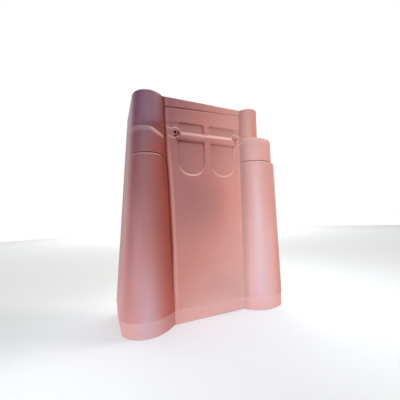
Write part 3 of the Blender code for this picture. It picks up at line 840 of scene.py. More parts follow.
def scooped(x, z, ring, s, r):
    """How deep the hollow above the verge collar's lip is: across it 1 less the square of the way
    from the crest, squared again, and eased out upwards over its height."""
    verge_width = roll_sizes(z, "spigot", s)[0]
    crest = -pan_half(z, s) - s.crest * verge_width
    across = np.clip(1.0 - ((x - crest) / (0.46 * verge_width)) ** 2, 0.0, 1.0) ** 2
    above = z - collar_top(s)
    dip = eased(1.0 - above / r.scoop_height) * (above > -0.5 * s.lip_crevice)
    return r.scoop * across * dip * np.where(ring["flat"] > 0.0, 1.0 - ring["flat"], 1.0)


def shade_lines(z, columns, place, s):
    """Painted shade lines: hills along z at the line above the rolls' tops and, half as strong, above
    the collars'.

    They fade out where a roll's flank comes down to the pan or to the flange.
    """
    flange, outer_turns, inner_turns, rise_turns, fall_turns = columns
    on_rolls = np.concatenate([
        0.0 * flange, np.sin(outer_turns), np.clip(2.0 * np.sin(inner_turns), 0.0, 1.0), 0.0 * place,
        np.clip(1.5 * np.sin(rise_turns), 0.0, 1.0), np.ones(len(fall_turns) + 1)])
    groove = hill(z, cover_line(s), 0.0011)
    nook = 0.5 * hill(z, collar_top(s) + 0.0003, 0.0010)
    return np.maximum(groove, nook) * on_rolls


def lip_drop(turned, s):
    """How far the verge collar's lip lies below the collar's top: a parabola that sinks it at the
    crest, and a straight line down from there to the pan."""
    return s.lip_sink * (1.0 - turned ** 2) + (s.lip_sink + s.lip_fall) * np.clip(turned, 0.0, 1.0)


def moved_heights(z, turned, cover, s):
    """The heights of the weather face's points, which leave their ring's height near the collars.

    turned says where a column is on the verge roll: -1 at its shoulder, 0 at the crest, 1 at the
    pan. Its collar's lip drops there, and the roll's top falls to the pan in a quarter round. cover
    is 1 on the cover roll, where the lip is drawn up to its own smaller height.
    """
    top, line = collar_top(s), roll_top(s)
    on_lip = plateau(z, line + 0.016, top - 0.014, top + 0.002, top + 0.028)
    on_roll = plateau(z, line - 0.062, line - 0.008, line + 0.002, line + 0.018)
    turn = np.clip((turned - 0.40) / 0.60, 0.0, 1.0)
    shoulder = s.shoulder_fall * (1.0 - np.sqrt(1.0 - turn * turn))
    up = np.interp(z, [line + 0.020, top - s.lip, top], [0.0, (1.0 - s.cover_lip) * s.lip, 0.0])
    return z - lip_drop(turned, s) * (1.0 - cover) * on_lip - shoulder * on_roll + cover * up


def underside(ring, s, r):
    """Points of the underside, column by column behind the weather face, a wall's thickness in.

    The corners behind the rolls' feet are rounded: each point there moves six times towards the
    middle of its neighbours. Each nib is a rounded box with steep walls that are round at both ends.
    """
    z = ring["back"]
    columns = section_columns(outer=14, inner=14, cover=13)
    nibs = [(side * r.nib_spacing - r.nib_width / 2, side * r.nib_spacing + r.nib_width / 2)
            for side in (-0.5, 0.5)]
    near, coarse, fine = 0.0030, 0.0045, 0.0006
    spots = [-0.0700]
    for wall_x in (*nibs[0], *nibs[1]):
        spots += [(wall_x - near, coarse), (wall_x + near, fine)]
    place = knots(*spots, (0.0780, coarse))
    steps = np.linspace(0.0, 1.0, 8)[1:-1]
    edge = np.concatenate([-steps[::-1], 0.0 * place, steps])
    place = np.concatenate([place[0] + 0.0 * steps, place, place[-1] + 0.0 * steps])
    pan = (place, edge)

    def outline(z, part):
        return section(z, part, s.wall, columns, pan, ROUND, s)

    x, y = stepped(z, outline, ring, s)
    left_corner = sum(len(part) for part in columns[:3]) - 1
    right_corner = left_corner + len(place) + 1
    column = np.arange(x.shape[1])
    near_corner = np.minimum(np.abs(column - left_corner), np.abs(column - right_corner))
    soft = 0.5 * inside(near_corner - 4.0, 4.0)
    for _ in range(6):
        for values in (x, y):
            values[:, 1:-1] += soft[1:-1] * ((values[:, :-2] + values[:, 2:]) / 2 - values[:, 1:-1])
    top, corner = s.length - r.nib_drop, 0.003
    distances = (-0.0028, -0.0020, -0.0012, 0.0006, 0.0012, 0.0024)
    heights = (1.0, 0.985, 0.92, 0.06, 0.02, 0.0)
    for start, end in nibs:
        gap = rounded_box(x, z, start, end, top - r.nib_thickness, top, corner, corner)
        y = y + r.nib_rise * np.interp(gap, distances, heights)
    return x, y, z + 0.0 * x, 0.0 * x, stations(columns, pan, s)


def edge_face(front, back, radius):
    """The narrow face between the weather face's edge and the underside's, with rounded corners.

    front and back are the (x, y, z, line) of the two edges. From the front one the points go a
    quarter round, straight across and a quarter round again, and their height goes evenly.
    """
    bend = QUARTER * np.arange(1, 6) / 5
    side = np.sign(back[0] - front[0])
    away, down = radius * (1.0 - np.cos(bend)), radius * np.sin(bend)
    x = np.concatenate([front[0] + side * away, back[0] - side * away[::-1]], axis=1)
    y = np.concatenate([front[1] + down, back[1] + down[::-1]], axis=1)
    t = (x - front[0]) / (back[0] - front[0])
    return x, y, front[2] + (back[2] - front[2]) * t, front[3] * (1.0 - t)


def tile_rings(s, r):
    """All points of the tile, as arrays of rings by columns, with the columns closing round.

    With x, y, z and the painted shade lines come the two sides of a cap: for each its columns and its
    stations along the section.
    """
    ring = rings(s, r)
    *front, front_station = weather_face(ring, s, r)
    *back, back_station = underside(ring, s, r)
    cover = edge_face([p[:, -1:] for p in front], [p[:, -1:] for p in back], s.free_edge)
    flange = edge_face([p[:, :1] for p in front], [p[:, :1] for p in back], s.free_edge)
    front_count = front[0].shape[1]
    x, y, z, lines = (
        np.concatenate([front[i], cover[i], back[i][:, ::-1], flange[i][:, ::-1]], axis=1)
        for i in range(4))

    along_x = np.roll(x, -1, axis=1) - np.roll(x, 1, axis=1)
    along_y = np.roll(y, -1, axis=1) - np.roll(y, 1, axis=1)
    size = np.hypot(along_x, along_y)
    out_x, out_y = along_y / size, -along_x / size
    weight = np.zeros(x.shape[1])
    weight[:front_count + 5] = 1.0
    weight[-5:] = 1.0
    face = ring["face"]
    thin = s.band_inset * np.maximum(0.0, 1.0 - face / s.band)
    thin = (thin + s.band_step * inside(face - s.band, 0.0006)) * weight
    x = x - out_x * (ring["inset"] + thin)
    y = y - out_y * (ring["inset"] + thin * (y < s.verge_shoulder) * (out_y < 0.2))
    count, half = x.shape[1], cover[0].shape[1] // 2
    front_columns = np.arange(-half, front_count + half) % count
    back_columns = np.arange(front_count + half, count - half)[::-1]
    before, after = -1.0 + np.arange(half) / half, 6.1 + np.arange(half) / half
    sides = (front_columns, np.concatenate([before, front_station, after]),
             back_columns, np.concatenate([before, back_station, after]))
    return x, y, z, lines, sides


def strip(first, first_station, second, second_station):
    """Triangles between two rows of points, each row taking its next step in order of station."""
    met = np.searchsorted(second_station[1:], first_station[1:], "left")
    ahead = np.stack([first[:-1], first[1:], second[met]], axis=-1)
    met = np.searchsorted(first_station[1:], second_station[1:], "right")
    behind = np.stack([first[met], second[1:], second[:-1]], axis=-1)
    return np.concatenate([ahead, behind])


def closed_mesh(name, x, y, z, caps):
    """A mesh of quads over rings by columns, closed round its columns, with the caps' faces at the
    last ring and, turned round, at the first. The caps are rows of column numbers."""
    count_rings, count = x.shape
    index = np.arange(count_rings * count).reshape(count_rings, count)
    right = np.roll(index, -1, axis=1)
    quads = np.stack([index[:-1], right[:-1], right[1:], index[1:]], axis=-1).reshape(-1, 4)
    corners = np.concatenate([quads.ravel(), caps[:, ::-1].ravel(), index[-1][caps].ravel()])
    starts = np.concatenate([
        np.arange(len(quads)) * 4, quads.size + np.arange(2 * len(caps)) * caps.shape[1]])
    mesh = bpy.data.meshes.new(name)
    mesh.vertices.add(index.size)
    mesh.vertices.foreach_set("co", np.stack([x, y, z], axis=-1).ravel())
    mesh.loops.add(len(corners))
    mesh.loops.foreach_set("vertex_index", corners)
    mesh.polygons.add(len(starts))
    mesh.polygons.foreach_set("loop_start", starts)
    mesh.update(calc_edges=True)
    mesh.validate()
    return mesh


def rod_mesh(name, x, z, y0, y1, radius, far_radius):
    """A closed rod along y: circles of the two radii at its ends."""
    turn = np.linspace(0.0, 2.0 * math.pi, 40, endpoint=False)[None, :]
    ends, radii = np.array([[y0], [y1]]), np.array([[radius], [far_radius]])
    return closed_mesh(
        name, x + radii * np.cos(turn), ends + 0.0 * turn, z - radii * np.sin(turn),
        np.arange(turn.size)[None, :])


def pierced(tile, *rod_sizes):
    """Cuts a rod out of the tile's mesh, which gives it a round hole."""
    rod = bpy.data.objects.new("nail_rod", rod_mesh("nail_rod", *rod_sizes))
    bpy.context.collection.objects.link(rod)
    cut = tile.modifiers.new("nail hole", "BOOLEAN")
    cut.operation = "DIFFERENCE"
    cut.solver = "EXACT"
    cut.object = rod
    bpy.context.view_layer.update()
    whole = bpy.data.meshes.new_from_object(
        tile.evaluated_get(bpy.context.evaluated_depsgraph_get()))
    tile.modifiers.remove(cut)
    plain = tile.data
    tile.data = whole
    bpy.data.meshes.remove(plain)
    used = rod.data
    bpy.data.objects.remove(rod)
    bpy.data.meshes.remove(used)


def vertex_vectors(mesh, name):
    """The vertices' places, for "co", or their normals, for "normal", as rows of three."""
    values = np.empty(len(mesh.vertices) * 3)
    mesh.vertices.foreach_get(name, values)
    return values.reshape(-1, 3)


def write_mark(mesh, name, values):
    """Writes one number for each vertex, for the clay to read under that name."""
    layer = mesh.attributes.get(name) or mesh.attributes.new(name, "FLOAT", "POINT")
    layer.data.foreach_set("value", values.astype(np.float32))


def mark_hollows(mesh, lines):
    """Writes how hollow the surface is at each vertex, for the clay to paint shade in its creases by
    it.

    Each edge leans out of the tangent plane by its direction times the normal. The sum of the
    leans over the sum of the squared lengths is half the curvature; it is scaled to about 1 for a
    crease of 1.5 mm and spread over the neighbours a few times. The painted shade lines are hollow
    too.
    """
    count = len(mesh.vertices)
    at, normal = vertex_vectors(mesh, "co"), vertex_vectors(mesh, "normal")
    ends = np.empty(len(mesh.edges) * 2, dtype=np.int64)
    mesh.edges.foreach_get("vertices", ends)
    a, b = ends.reshape(-1, 2).T
    step = at[b] - at[a]
    square = (step ** 2).sum(axis=1)
    lean = np.bincount(a, (step * normal[a]).sum(axis=1), count)
    lean += np.bincount(b, -(step * normal[b]).sum(axis=1), count)
    room = np.bincount(a, square, count) + np.bincount(b, square, count)
    hollow = np.clip(lean / np.maximum(room, 1e-12) * 0.003, -1.0, 1.0)
    meet = np.bincount(a, minlength=count) + np.bincount(b, minlength=count)
    for _ in range(2):
        near = np.bincount(a, hollow[b], count) + np.bincount(b, hollow[a], count)
        hollow = 0.5 * hollow + 0.5 * near / np.maximum(meet, 1)
    write_mark(mesh, "hollow", np.maximum(hollow, lines))


def vertex_places(mesh, s, marks):
    """Where each vertex is and which way it faces, as arrays with one value for each vertex.

    The two ways go outwards from the rolls' feet, and their shares are the ways over the rolls'
    widths; pan_share goes over the pan to the right. turned is 1 at the verge roll's foot and 0 at
    its crest. above counts from the collars' tops. swing is how far the verge roll's dark foot lies
    out on the pan, and low_right is 1 in the pan's lower right corner. The rest is true or false.
    """
    at = SimpleNamespace()
    at.x, at.y, at.z = (vertex_vectors(mesh, "co") - (PAN_MIDDLE_X, PAN_FACE_Y, TILE_LOW[2])).T
    at.to_right, _, at.to_head = vertex_vectors(mesh, "normal").T
    half, above = pan_half(at.z, s), at.z - collar_top(s)
    verge_width, _, cover_width, _ = roll_sizes(at.z, "roll", s)
    at.above = above
    at.verge_way, at.cover_way = -half - at.x, at.x - half
    at.verge_share = at.verge_way / verge_width
    at.cover_share = at.cover_way / np.where(above > 0.0, s.cover_spigot_width, cover_width)
    at.pan_share = (at.x + half) / (2.0 * half)
    at.turned = 1.0 - at.verge_share / s.crest
    at.front = at.y < s.wall / 2
    at.on_verge, at.on_cover = at.verge_way > 0.0, at.cover_way > 0.0
    at.on_band = at.z < s.band
    # How far the painted shade along the verge roll's foot swings onto the pan.
    at.swing = marks.foot_swing * plateau(at.z, 0.06, 0.15, 0.27, 0.33)
    at.left_of_cover = at.cover_way < 0.0
    at.low_right = eased((at.pan_share - 0.2) / 0.5) * hill(at.z, 0.055, 0.035) * at.left_of_cover
    return at


def red_marks(at, s, marks):
    """Where painted shade and warm bounce light make the clay redder and darker, at 1, and where
    painted light makes it brighter, below 0.

    Up the verge roll's inner flank the painted shade fades from 1 at the foot over the reach, a share
    of the way to the crest. On the pan it fades within 2.5 mm, or more where the foot swings out, and
    goes below 0 in a hill on each of the two painted highlight strips along the rolls' feet and in one
    on the pan's right. The cover roll's far flank gets painted warm light and the verge roll's outer
    edge painted light, with redder tones at the head, on the cover roll's spigot and in the pan's
    lower right.
    """
    line, top = cover_line(s), collar_top(s)
    reach = np.interp(
        at.z, [line - 0.01, line + 0.01, top - 0.015, top + 0.02], [1.32, 1.90, 1.90, 0.95])
    # Painted shade up the verge roll's inner flank and onto the pan along its foot.
    red = np.where(at.on_verge, eased(1.0 - (1.0 - at.turned) / reach),
                   eased(1.0 + at.verge_way / (0.0025 + 1.6 * at.swing)))
    low = np.interp(at.z, [top - 0.08, top - 0.02], [1.0, 0.0])
    # Painted highlights on the strips beside the two rolls' feet.
    red = red - (0.35 + 0.65 * low) * hill(at.verge_way + at.swing, -marks.left_strip, 0.0026)
    red = red - (0.8 + 0.2 * low) * hill(at.cover_way, -marks.right_strip, 0.0020)
    # Painted warm light on the cover roll's far flank.
    far_flank = np.interp(at.z, [0.05, 0.25], [marks.flank_red_low, marks.flank_red_high])
    red = red + far_flank * eased((at.cover_share - 0.5) / 0.4)
    # Painted light on the pan's right.
    painted_brightening = eased((at.pan_share - 0.65) / 0.25) * hill(at.z, 0.26, 0.07) * at.left_of_cover
    red = (red - marks.pan_glow * painted_brightening + marks.corner_red * at.low_right) * at.front
    high = np.interp(at.z, [line, top], [0.0, 1.0])
    # Painted light on the verge roll's outer edge.
    outermost = eased((at.verge_share - 0.90) / 0.08) * (at.to_right < 0.1)
    red = red - (marks.edge_glow - 0.20 * high) * outermost
    red = red + marks.head_red * high * hill(at.verge_share, 0.90, 0.06) * at.front
    red = red + marks.spigot_red * (at.on_cover & (at.above > 0.0) & at.front)
    return red * np.where(at.on_band, marks.band_red, 1.0)


def sheen_and_shade_marks(at, marks):
    """Where a cool painted sheen lies on the clay, at 1, and where it is browner or carries painted
    shade, below 0.

    The painted sheen is a hill across the crest of each roll. Painted shade at the cover roll's foot
    is taken off, and so are browner hills in the middle of the pan, in its lower right and in the
    middle of the verge roll, and painted shade on the floors of the recesses, by their depth.
    """
    # Painted cool sheen across each roll's crest.
    bloom = hill(at.cover_share, 0.30, 0.21) * np.interp(at.z, [0.1, 0.38], [1.0, 0.2])
    bloom += hill(at.verge_share, 0.55, 0.20) * np.interp(
        at.z, [0.02, 0.17, 0.33, 0.38], [1.0, 0.1, 0.1, 0.23])
    # Painted shade at the cover roll's foot.
    bloom -= hill(at.cover_share, 0.03, 0.07) * at.on_cover
    bloom -= marks.pan_brown * hill(at.pan_share, 0.42, 0.28) * hill(at.z, 0.235, 0.075)
    bloom -= marks.corner_brown * at.low_right
    bloom -= marks.verge_brown * hill(at.verge_share, 0.55, 0.25) * hill(at.z, 0.22, 0.08)
    on_band = np.where(at.x > 0.0, marks.band_sheen_right, marks.band_sheen_left)
    bloom = bloom * np.where(at.on_band, on_band, 1.0)
    # Painted shade on the recesses' floors, by their depth.
    floors = np.clip(at.y / 0.003, 0.0, 1.0) * (at.verge_way < -0.004) * at.left_of_cover
    return (bloom - marks.floor_shade * floors) * at.front


def facing_light_marks(at, s, r, marks):
    """Painted light, above 0, and painted shade, below 0, by the way the clay faces.

    The relief's walls get painted light towards the head and the right, and painted shade sideways.
    The rolls' upper edges, the beads, and the collars' lips with a band below them get painted
    highlights, and the hollow above the verge collar gets painted shade, each as a hill or an eased
    distance. With the painted light comes which vertices belong to the carved pan.
    """
    (left, right), over_nail = nail_places(s, r), at.z - nail_height(s, r)
    inner = (at.z > 1.5 * s.band) & (at.z < s.length - 0.003)
    carved = inner & (at.verge_way < -0.002) & (at.cover_way < -0.002)
    carved &= np.hypot(at.x - right, over_nail) > 0.006
    carved &= (at.x > left - 0.002) | (np.abs(over_nail + 0.008) > 0.006)
    # Painted light on walls that face the head and the right, painted shade on walls that face aside.
    sideways = np.abs(at.to_right) * np.clip(1.0 - 1.6 * np.abs(at.to_head), 0.0, 1.0)
    facing = marks.to_head * at.to_head + marks.to_right * at.to_right - marks.aside * sideways
    fades = 1.0 - 0.80 * eased(at.pan_share)
    painted_light = np.where(facing > 0.0, marks.wall_light, fades) * facing * carved
    on_rolls = (at.on_verge | at.on_cover) & inner & (at.z < s.length - 0.004)
    # Painted highlights on the rolls' upper edges.
    painted_light += marks.roll_light * np.maximum(at.to_head, 0.0) * on_rolls

    turned = np.clip(at.turned, -1.0, 1.0)
    lip = at.above + lip_drop(turned, s)
    towards_pan = eased((turned + 0.1) / 0.4)
    # Painted highlights on the collars' lips and the bands below them.
    painted_light += marks.verge_lip * hill(lip, -0.0032, 0.0032) * towards_pan * at.on_verge
    painted_light += marks.verge_lip_band * hill(lip, -0.0065, 0.0045) * at.on_verge
    painted_light += marks.cover_lip * hill(at.above, -0.0028, 0.0022) * at.on_cover
    painted_light += marks.cover_lip_band * hill(at.above, -0.0075, 0.0045) * at.on_cover
    # Painted shade in the hollow above the verge collar.
    scoop = hill(at.above, 0.003, 0.008) * hill(at.verge_share, 0.52, 0.30)
    painted_light -= marks.scoop_shade * scoop * (at.on_verge & (at.above > -0.0005))
    # Painted highlights on the beads.
    for ends in beads(s, r):
        painted_light += marks.bead_light * inside(to_segment(at.x, at.z, *ends) - 0.0014, 0.0026)
    return painted_light * at.front, carved


def mark_clay(mesh, s, r, marks):
    """Writes the red and the sheen and shade, and takes the painted light from how hollow the surface
    is.

    Before that the hollow is evened out where the rings of points lie close, set to painted shade
    along the groove under the rim, and given painted shade high on the verge roll's inner flank. After
    it the painted shade along the verge roll's foot and the painted shadow in the dimple replace lower
    values, and the inside of the hole gets a mark of its own for its painted shadow.
    """
    at = vertex_places(mesh, s, marks)
    write_mark(mesh, "red", red_marks(at, s, marks))
    write_mark(mesh, "bloom", sheen_and_shade_marks(at, marks))
    hollow = np.empty(len(at.x), dtype=np.float32)
    mesh.attributes["hollow"].data.foreach_get("value", hollow)
    painted_light, carved = facing_light_marks(at, s, r, marks)
    line = cover_line(s)
    close_rows = plateau(at.z, line - 0.0090, line - 0.0060, line + 0.0025, line + 0.0065)
    hollow = hollow - 0.55 * close_rows * carved * np.maximum(hollow, 0.0)
    # Painted shade along the groove under the rim.
    rim_line = carved * hill(
        below_rim(at.x, at.z, s, r), r.rim_groove_drop, 1.3 * r.rim_groove_width)
    hollow += (marks.rim_shade * rim_line - hollow) * eased(rim_line / 0.4) - painted_light
    # Painted shade high on the verge roll's inner flank.
    upper = np.interp(at.z, [0.20, 0.30], [0.0, 1.0]) * (at.on_verge & at.front)
    hollow += marks.flank_shade * hill(at.verge_way, 0.007, 0.009) * upper

    (left, right), over_nail = nail_places(s, r), at.z - nail_height(s, r)
    # Painted shade along the verge roll's foot, and painted shadow in the dimple.
    foot = hill(at.verge_way + at.swing, 0.0004, 0.0030)
    foot = foot * np.interp(at.z, [0.02, 0.15], [0.2, marks.foot_shade])
    dimple = 0.8 * (np.hypot(at.x - right, over_nail) < 0.0022)
    dark = np.maximum(foot, dimple) * at.front
    hollow += (np.maximum(hollow, dark) - hollow) * eased(dark / 0.2)
    # Painted shadow: the inside of the hole is marked to be laid near black.
    hollow[(np.hypot(at.x - left, over_nail) < r.nail_hole * 1.1) & (at.y > -0.003)] = BORE_SHADOW_MARK
    write_mark(mesh, "hollow", hollow)


def set_input(tree, socket, value):
    """Gives a socket its value, or links it where the value is another node's socket."""
    if isinstance(value, bpy.types.NodeSocket):
        tree.links.new(value, socket)
    else:
        socket.default_value = value


def node(tree, kind, place, settings=(), **inputs):
    """Adds a shader node. Inputs go by name, with _ for a space, as a value or another's socket."""
    made = tree.nodes.new(kind)
    made.location = place
    for name, value in dict(settings).items():
        setattr(made, name, value)
    for name, value in inputs.items():
        set_input(tree, made.inputs[name.replace("_", " ")], value)
    return made


def mixed(tree, place, factor, first, second, blend="MIX"):
    """A colour mix. Its sockets are reached by number, because their names repeat."""
    made = node(tree, "ShaderNodeMix", place, {"data_type": "RGBA", "blend_type": blend})
    for number, value in ((0, factor), (6, first), (7, second)):
        set_input(tree, made.inputs[number], value)
    return made.outputs[2]


def ramp(tree, place, value, low, high, to_low=0.0, to_high=1.0):
    """A straight line from to_low at low to to_high at high, held level beyond both."""
    return node(tree, "ShaderNodeMapRange", place, Value=value, From_Min=low, From_Max=high,
                To_Min=to_low, To_Max=to_high).outputs["Result"]


def times_plus(tree, place, first, second, third):
    """First times second plus third."""
    made = node(tree, "ShaderNodeMath", place, {"operation": "MULTIPLY_ADD"})
    for number, value in enumerate((first, second, third)):
        set_input(tree, made.inputs[number], value)
    return made.outputs["Value"]


def noise(tree, place, where, scale, detail, roughness):
    """A noise texture's grey value, from about 0.3 to 0.7."""
    return node(tree, "ShaderNodeTexNoise", place, Vector=where, Scale=scale, Detail=detail,
                Roughness=roughness).outputs["Fac"]


def fired_body(tree, look, s, place, patches):
    """The clay's colour by its place alone: darkest at the verge side's head, palest at the right,
    which paints the shade and light that fall across the tile.

    With across and along running from -1 to 1, the light gradient is across times (gradient right +
    gradient turn times along), plus along times (gradient ends times along - gradient tail), with slow
    patches. Where it is low the deep clay shows as painted shade, which is violet at the head's verge
    side as a painted cool reflection, and where it is high the pale one shows as painted light. Over
    that goes the tail band.
    """
    across = times_plus(tree, (-1100, 400), place.outputs["X"], 1.0 / GRADIENT_REACH, 0.0)
    along = ramp(tree, (-1100, 250), place.outputs["Z"], 0.0, s.length, -1.0, 1.0)
    tilt = times_plus(tree, (-900, 400), along, look.gradient_turn, look.gradient_right)
    rise = times_plus(tree, (-900, 250), along, look.gradient_ends, -look.gradient_tail)
    slow = ramp(tree, (-900, 0), patches, 0.3, 0.7, -0.15, 0.15)
    light_gradient = times_plus(tree, (-700, 300), along, rise, slow)
    light_gradient = times_plus(tree, (-550, 350), across, tilt, light_gradient)
    # Painted reflection: the violet sheen at the head's verge side.
    on_verge = ramp(tree, (-900, 550), across, -0.44, -0.50, 0.3, 1.0)
    at_head = ramp(tree, (-900, 700), along, 0.35, 0.85)
    violet = times_plus(tree, (-700, 650), at_head, on_verge, 0.0)
    deep = mixed(tree, (-500, 650), violet, (*look.deep, 1.0), (*look.violet, 1.0))
    return laid_over(tree, (-350, 650), deep, (
        # Painted shade where the light gradient is low, painted light where it is high.
        ("MIX", light_gradient, -0.55, 0.02, 1.0, look.body),
        ("MIX", light_gradient, 0.0, 0.5, 1.0, look.pale),
        ("MIX", place.outputs["Z"], s.band + 0.0005, s.band - 0.0003, 0.55, look.band)))


def laid_over(tree, place, body, layers):
    """Lays colours over the body in turn, mixed in or multiplied.

    A layer holds its kind, a value, where that value starts it and where it is full, its largest
    share and its colour. Between start and full the share grows in a straight line.
    """
    for number, (blend, value, start, full, most, tone) in enumerate(layers):
        x, y = place[0] + 180 * number, place[1]
        part = ramp(tree, (x, y - 250), value, start, full, 0.0, most)
        body = mixed(tree, (x, y), part, body, (*tone, 1.0), blend)
    return body


def clay_material(look, s):
    """Fired clay with a fine grain and faint marks along the tile.

    Its colour is the fired body, with its painted light and shade, and flecks, then the red and the
    sheen and shade where they are above or below 0, which paint shade, bounce light, highlights and a
    cool sheen, then the painted shade of creases, the painted shadow of the hole's inside and the
    painted highlights of walls and edges that face the light. The creases are less glossy too.
    """
    material = bpy.data.materials.new("fired_clay")
    material.use_nodes = True
    tree = material.node_tree
    shader = tree.nodes["Principled BSDF"]
    where = node(tree, "ShaderNodeTexCoord", (-1500, 0)).outputs["Object"]
    place = node(tree, "ShaderNodeSeparateXYZ", (-1300, 200), Vector=where)
    drawn = node(tree, "ShaderNodeMapping", (-1300, -300), Vector=where, Scale=(1.0, 1.0, 0.06))
    patches = noise(tree, (-1300, 0), where, 6.0, 2.0, 0.5)
    drags = noise(tree, (-1100, -300), drawn.outputs["Vector"], 260.0, 3.0, 0.55)
    grain = noise(tree, (-1100, -500), where, 1400.0, 2.0, 0.6)
    flecks = noise(tree, (-1100, -700), where, 420.0, 4.0, 0.65)
    hollow, red, bloom = (
        node(tree, "ShaderNodeAttribute", (-1100, y), {"attribute_name": name}).outputs["Fac"]
        for name, y in (("hollow", -900), ("red", -1100), ("bloom", -1300)))

    body = fired_body(tree, look, s, place, patches)
    fleck = ramp(tree, (-900, -700), flecks, 0.3, 0.7, 0.95, 1.05)
    body = mixed(tree, (-900, 1000), 1.0, body, fleck, "MULTIPLY")
    body = laid_over(tree, (-700, 1000), body, (
        # Painted shade and warm bounce light, then painted highlights.
        ("MULTIPLY", red, 0.0, 1.0, 1.0, look.red_shade),
        ("MIX", red, 0.0, -1.0, 0.7, look.painted_brightening),
        # Painted cool sheen, then painted shade and browner tones.
        ("MIX", bloom, 0.0, 1.0, 0.6, look.bloom),
        ("MULTIPLY", bloom, 0.0, -1.0, 1.0, look.shade),
        # Painted shade in creases, painted shadow in the hole, painted highlights on what faces the
        # light.
        ("MIX", hollow, 0.10, 0.8, 0.8, look.hollow),
        ("MIX", hollow, 0.6 * BORE_SHADOW_MARK, 0.8 * BORE_SHADOW_MARK, 1.0, look.bore_shadow),
        ("MIX", hollow, -0.10, -0.7, 0.50, look.painted_highlight)))
    tree.links.new(body, shader.inputs["Base Color"])
    rough = ramp(tree, (-500, -100), patches, 0.3, 0.7, look.roughness - 0.04, look.roughness + 0.04)
    tree.links.new(rough, shader.inputs["Roughness"])
    fine = node(tree, "ShaderNodeBump", (-500, -500), Height=grain, Distance=look.grain)
    marks = node(tree, "ShaderNodeBump", (-300, -400), Height=drags, Distance=look.drag,
                 Normal=fine.outputs["Normal"])
    tree.links.new(marks.outputs["Normal"], shader.inputs["Normal"])
    shader.inputs["Specular IOR Level"].default_value = look.gloss
    gloss = ramp(tree, (-100, -200), hollow, 0.15, 0.7, look.gloss, 0.1)
    tree.links.new(gloss, shader.inputs["Specular IOR Level"])
    shader.location = (800, 200)
    tree.nodes["Material Output"].location = (1100, 200)
    return material


def plain_material(name, rgb, roughness):
    """One even colour."""
    material = bpy.data.materials.new(name)
    material.use_nodes = True
    shader = material.node_tree.nodes["Principled BSDF"]
    shader.inputs["Base Color"].default_value = (*rgb, 1.0)
    shader.inputs["Roughness"].default_value = roughness
    return material


def floor_disc(look):
    """The round floor: corners on a circle, at even turns."""
    turn = np.linspace(0.0, 2.0 * math.pi, 96, endpoint=False)
    rim = np.stack([np.cos(turn), np.sin(turn), 0.0 * turn], axis=-1) * look.floor_radius
    mesh = bpy.data.meshes.new("floor")
    mesh.from_pydata(rim.tolist(), [], [list(range(len(rim)))])
    mesh.materials.append(plain_material("pale_floor", look.floor_colour, 0.9))
    return bpy.data.objects.new("floor", mesh)


def soft_air(look):
    """A white world, brighter behind the tile: by the cosine of each way to one that goes over it."""
    world = bpy.data.worlds.new("soft air")
    world.use_nodes = True
    tree = world.node_tree
    way = node(tree, "ShaderNodeTexCoord", (-900, 0)).outputs["Generated"]
    facing = node(tree, "ShaderNodeVectorMath", (-700, 0), {"operation": "DOT_PRODUCT"})
    behind = (0.87 * math.sin(look.heading), 0.87 * math.cos(look.heading), 0.5)
    for number, value in enumerate((way, behind)):
        set_input(tree, facing.inputs[number], value)
    air = ramp(tree, (-500, 0), facing.outputs["Value"], 0.2, 0.5, look.around, look.behind)
    tree.links.new(air, tree.nodes["Background"].inputs["Strength"])
    tree.nodes["Background"].inputs["Color"].default_value = (1.0, 1.0, 1.0, 1.0)
    return world


def lamp(name, energy):
    """A square lamp that is turned towards its target."""
    place, target, size, spread, tint = LAMPS[name]
    data = bpy.data.lights.new(name, "AREA")
    data.size = size
    data.spread = math.radians(spread)
    data.energy = energy
    data.color = tint
    made = bpy.data.objects.new(name, data)
    made.location = place
    made.rotation_euler = (Vector(target) - Vector(place)).to_track_quat("-Z", "Y").to_euler()
    return made


def level_camera(look):
    """The camera: level, turned to its heading and tilted about its own line of sight."""
    data = bpy.data.cameras.new("camera")
    data.sensor_width = 36.0
    data.lens = look.lens
    data.shift_y = look.shift
    camera = bpy.data.objects.new("camera", data)
    level = Matrix.Rotation(-look.heading, 4, "Z") @ Matrix.Rotation(QUARTER, 4, "X")
    tilt = Matrix.Rotation(look.roll, 4, "Z")
    camera.matrix_world = Matrix.Translation(look.camera) @ level @ tilt
    return camera


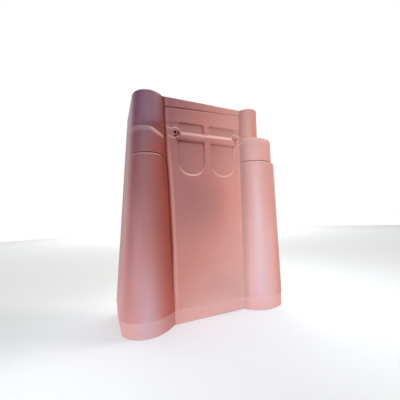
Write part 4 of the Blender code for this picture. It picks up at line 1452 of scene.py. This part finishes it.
class VERGETILE_OT_add_tile(bpy.types.Operator):
    """Add the clay tile in full detail and put it in its plain solid's place"""

    bl_idname = "verge_tile.add_tile"
    bl_label = "Clay Tile"

    def execute(self, context):
        scene = context.scene
        s, r = scene.verge_tile_shape, scene.verge_tile_relief
        x, y, z, lines, sides = tile_rings(s, r)
        mesh = closed_mesh("clay_tile", x, y, z, strip(*sides))
        mark_hollows(mesh, lines.ravel())
        tile = bpy.data.objects.new("clay_tile", mesh)
        context.collection.objects.link(tile)
        before, behind = -0.003, s.wall + 0.002
        far_radius = 0.5 * r.nail_hole
        pierced(tile, nail_places(s, r)[0], nail_height(s, r), before, behind, r.nail_hole, far_radius)
        tile.data.name = "clay_tile"
        tile.data.transform(Matrix.Translation((PAN_MIDDLE_X, PAN_FACE_Y, TILE_LOW[2])))
        mark_clay(tile.data, s, r, scene.verge_tile_marks)
        tile.data.shade_smooth()
        tile.data.set_sharp_from_angle(angle=math.radians(38.0))
        tile.data.materials.clear()
        tile.data.materials.append(clay_material(scene.verge_tile_clay, s))
        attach(tile, "root")
        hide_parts("verge_tile")
        return {"FINISHED"}


class VERGETILE_OT_add_studio(bpy.types.Operator):
    """Add the pale floor, the soft lights and the camera"""

    bl_idname = "verge_tile.add_studio"
    bl_label = "Studio"

    def execute(self, context):
        look, scene = context.scene.verge_tile_studio, context.scene
        floor, camera = floor_disc(look), level_camera(look)
        lamps = [lamp(name, getattr(look, name)) for name in LAMPS]
        for thing in (floor, *lamps, camera):
            context.collection.objects.link(thing)
        scene.world = soft_air(look)
        scene.camera = camera
        scene.view_settings.view_transform = "Standard"
        return {"FINISHED"}


class VERGETILE_PT_panel(bpy.types.Panel):
    """Lists the two operators in the sidebar."""

    bl_label = "Verge Tile"
    bl_idname = "VERGETILE_PT_panel"
    bl_space_type = "VIEW_3D"
    bl_region_type = "UI"
    bl_category = "Verge Tile"

    def draw(self, context):
        for operator in (VERGETILE_OT_add_tile, VERGETILE_OT_add_studio):
            self.layout.operator(operator.bl_idname)


GROUPS = {
    "verge_tile_shape": TileShape,
    "verge_tile_relief": ReliefShape,
    "verge_tile_clay": ClayLook,
    "verge_tile_marks": PaintedLightMarks,
    "verge_tile_studio": StudioLook,
}
CLASSES = (*GROUPS.values(), VERGETILE_OT_add_tile, VERGETILE_OT_add_studio, VERGETILE_PT_panel)


def register():
    """Adds the classes, and the groups of properties to every scene."""
    for cls in CLASSES:
        bpy.utils.register_class(cls)
    for name, group in GROUPS.items():
        setattr(bpy.types.Scene, name, bpy.props.PointerProperty(type=group))


def unregister():
    """Takes both away again."""
    for name in GROUPS:
        delattr(bpy.types.Scene, name)
    for cls in reversed(CLASSES):
        bpy.utils.unregister_class(cls)


def main():
    """Builds the tile and its studio."""
    register()
    bpy.ops.verge_tile.add_tile()
    bpy.ops.verge_tile.add_studio()


if __name__ == "__main__":
    main()
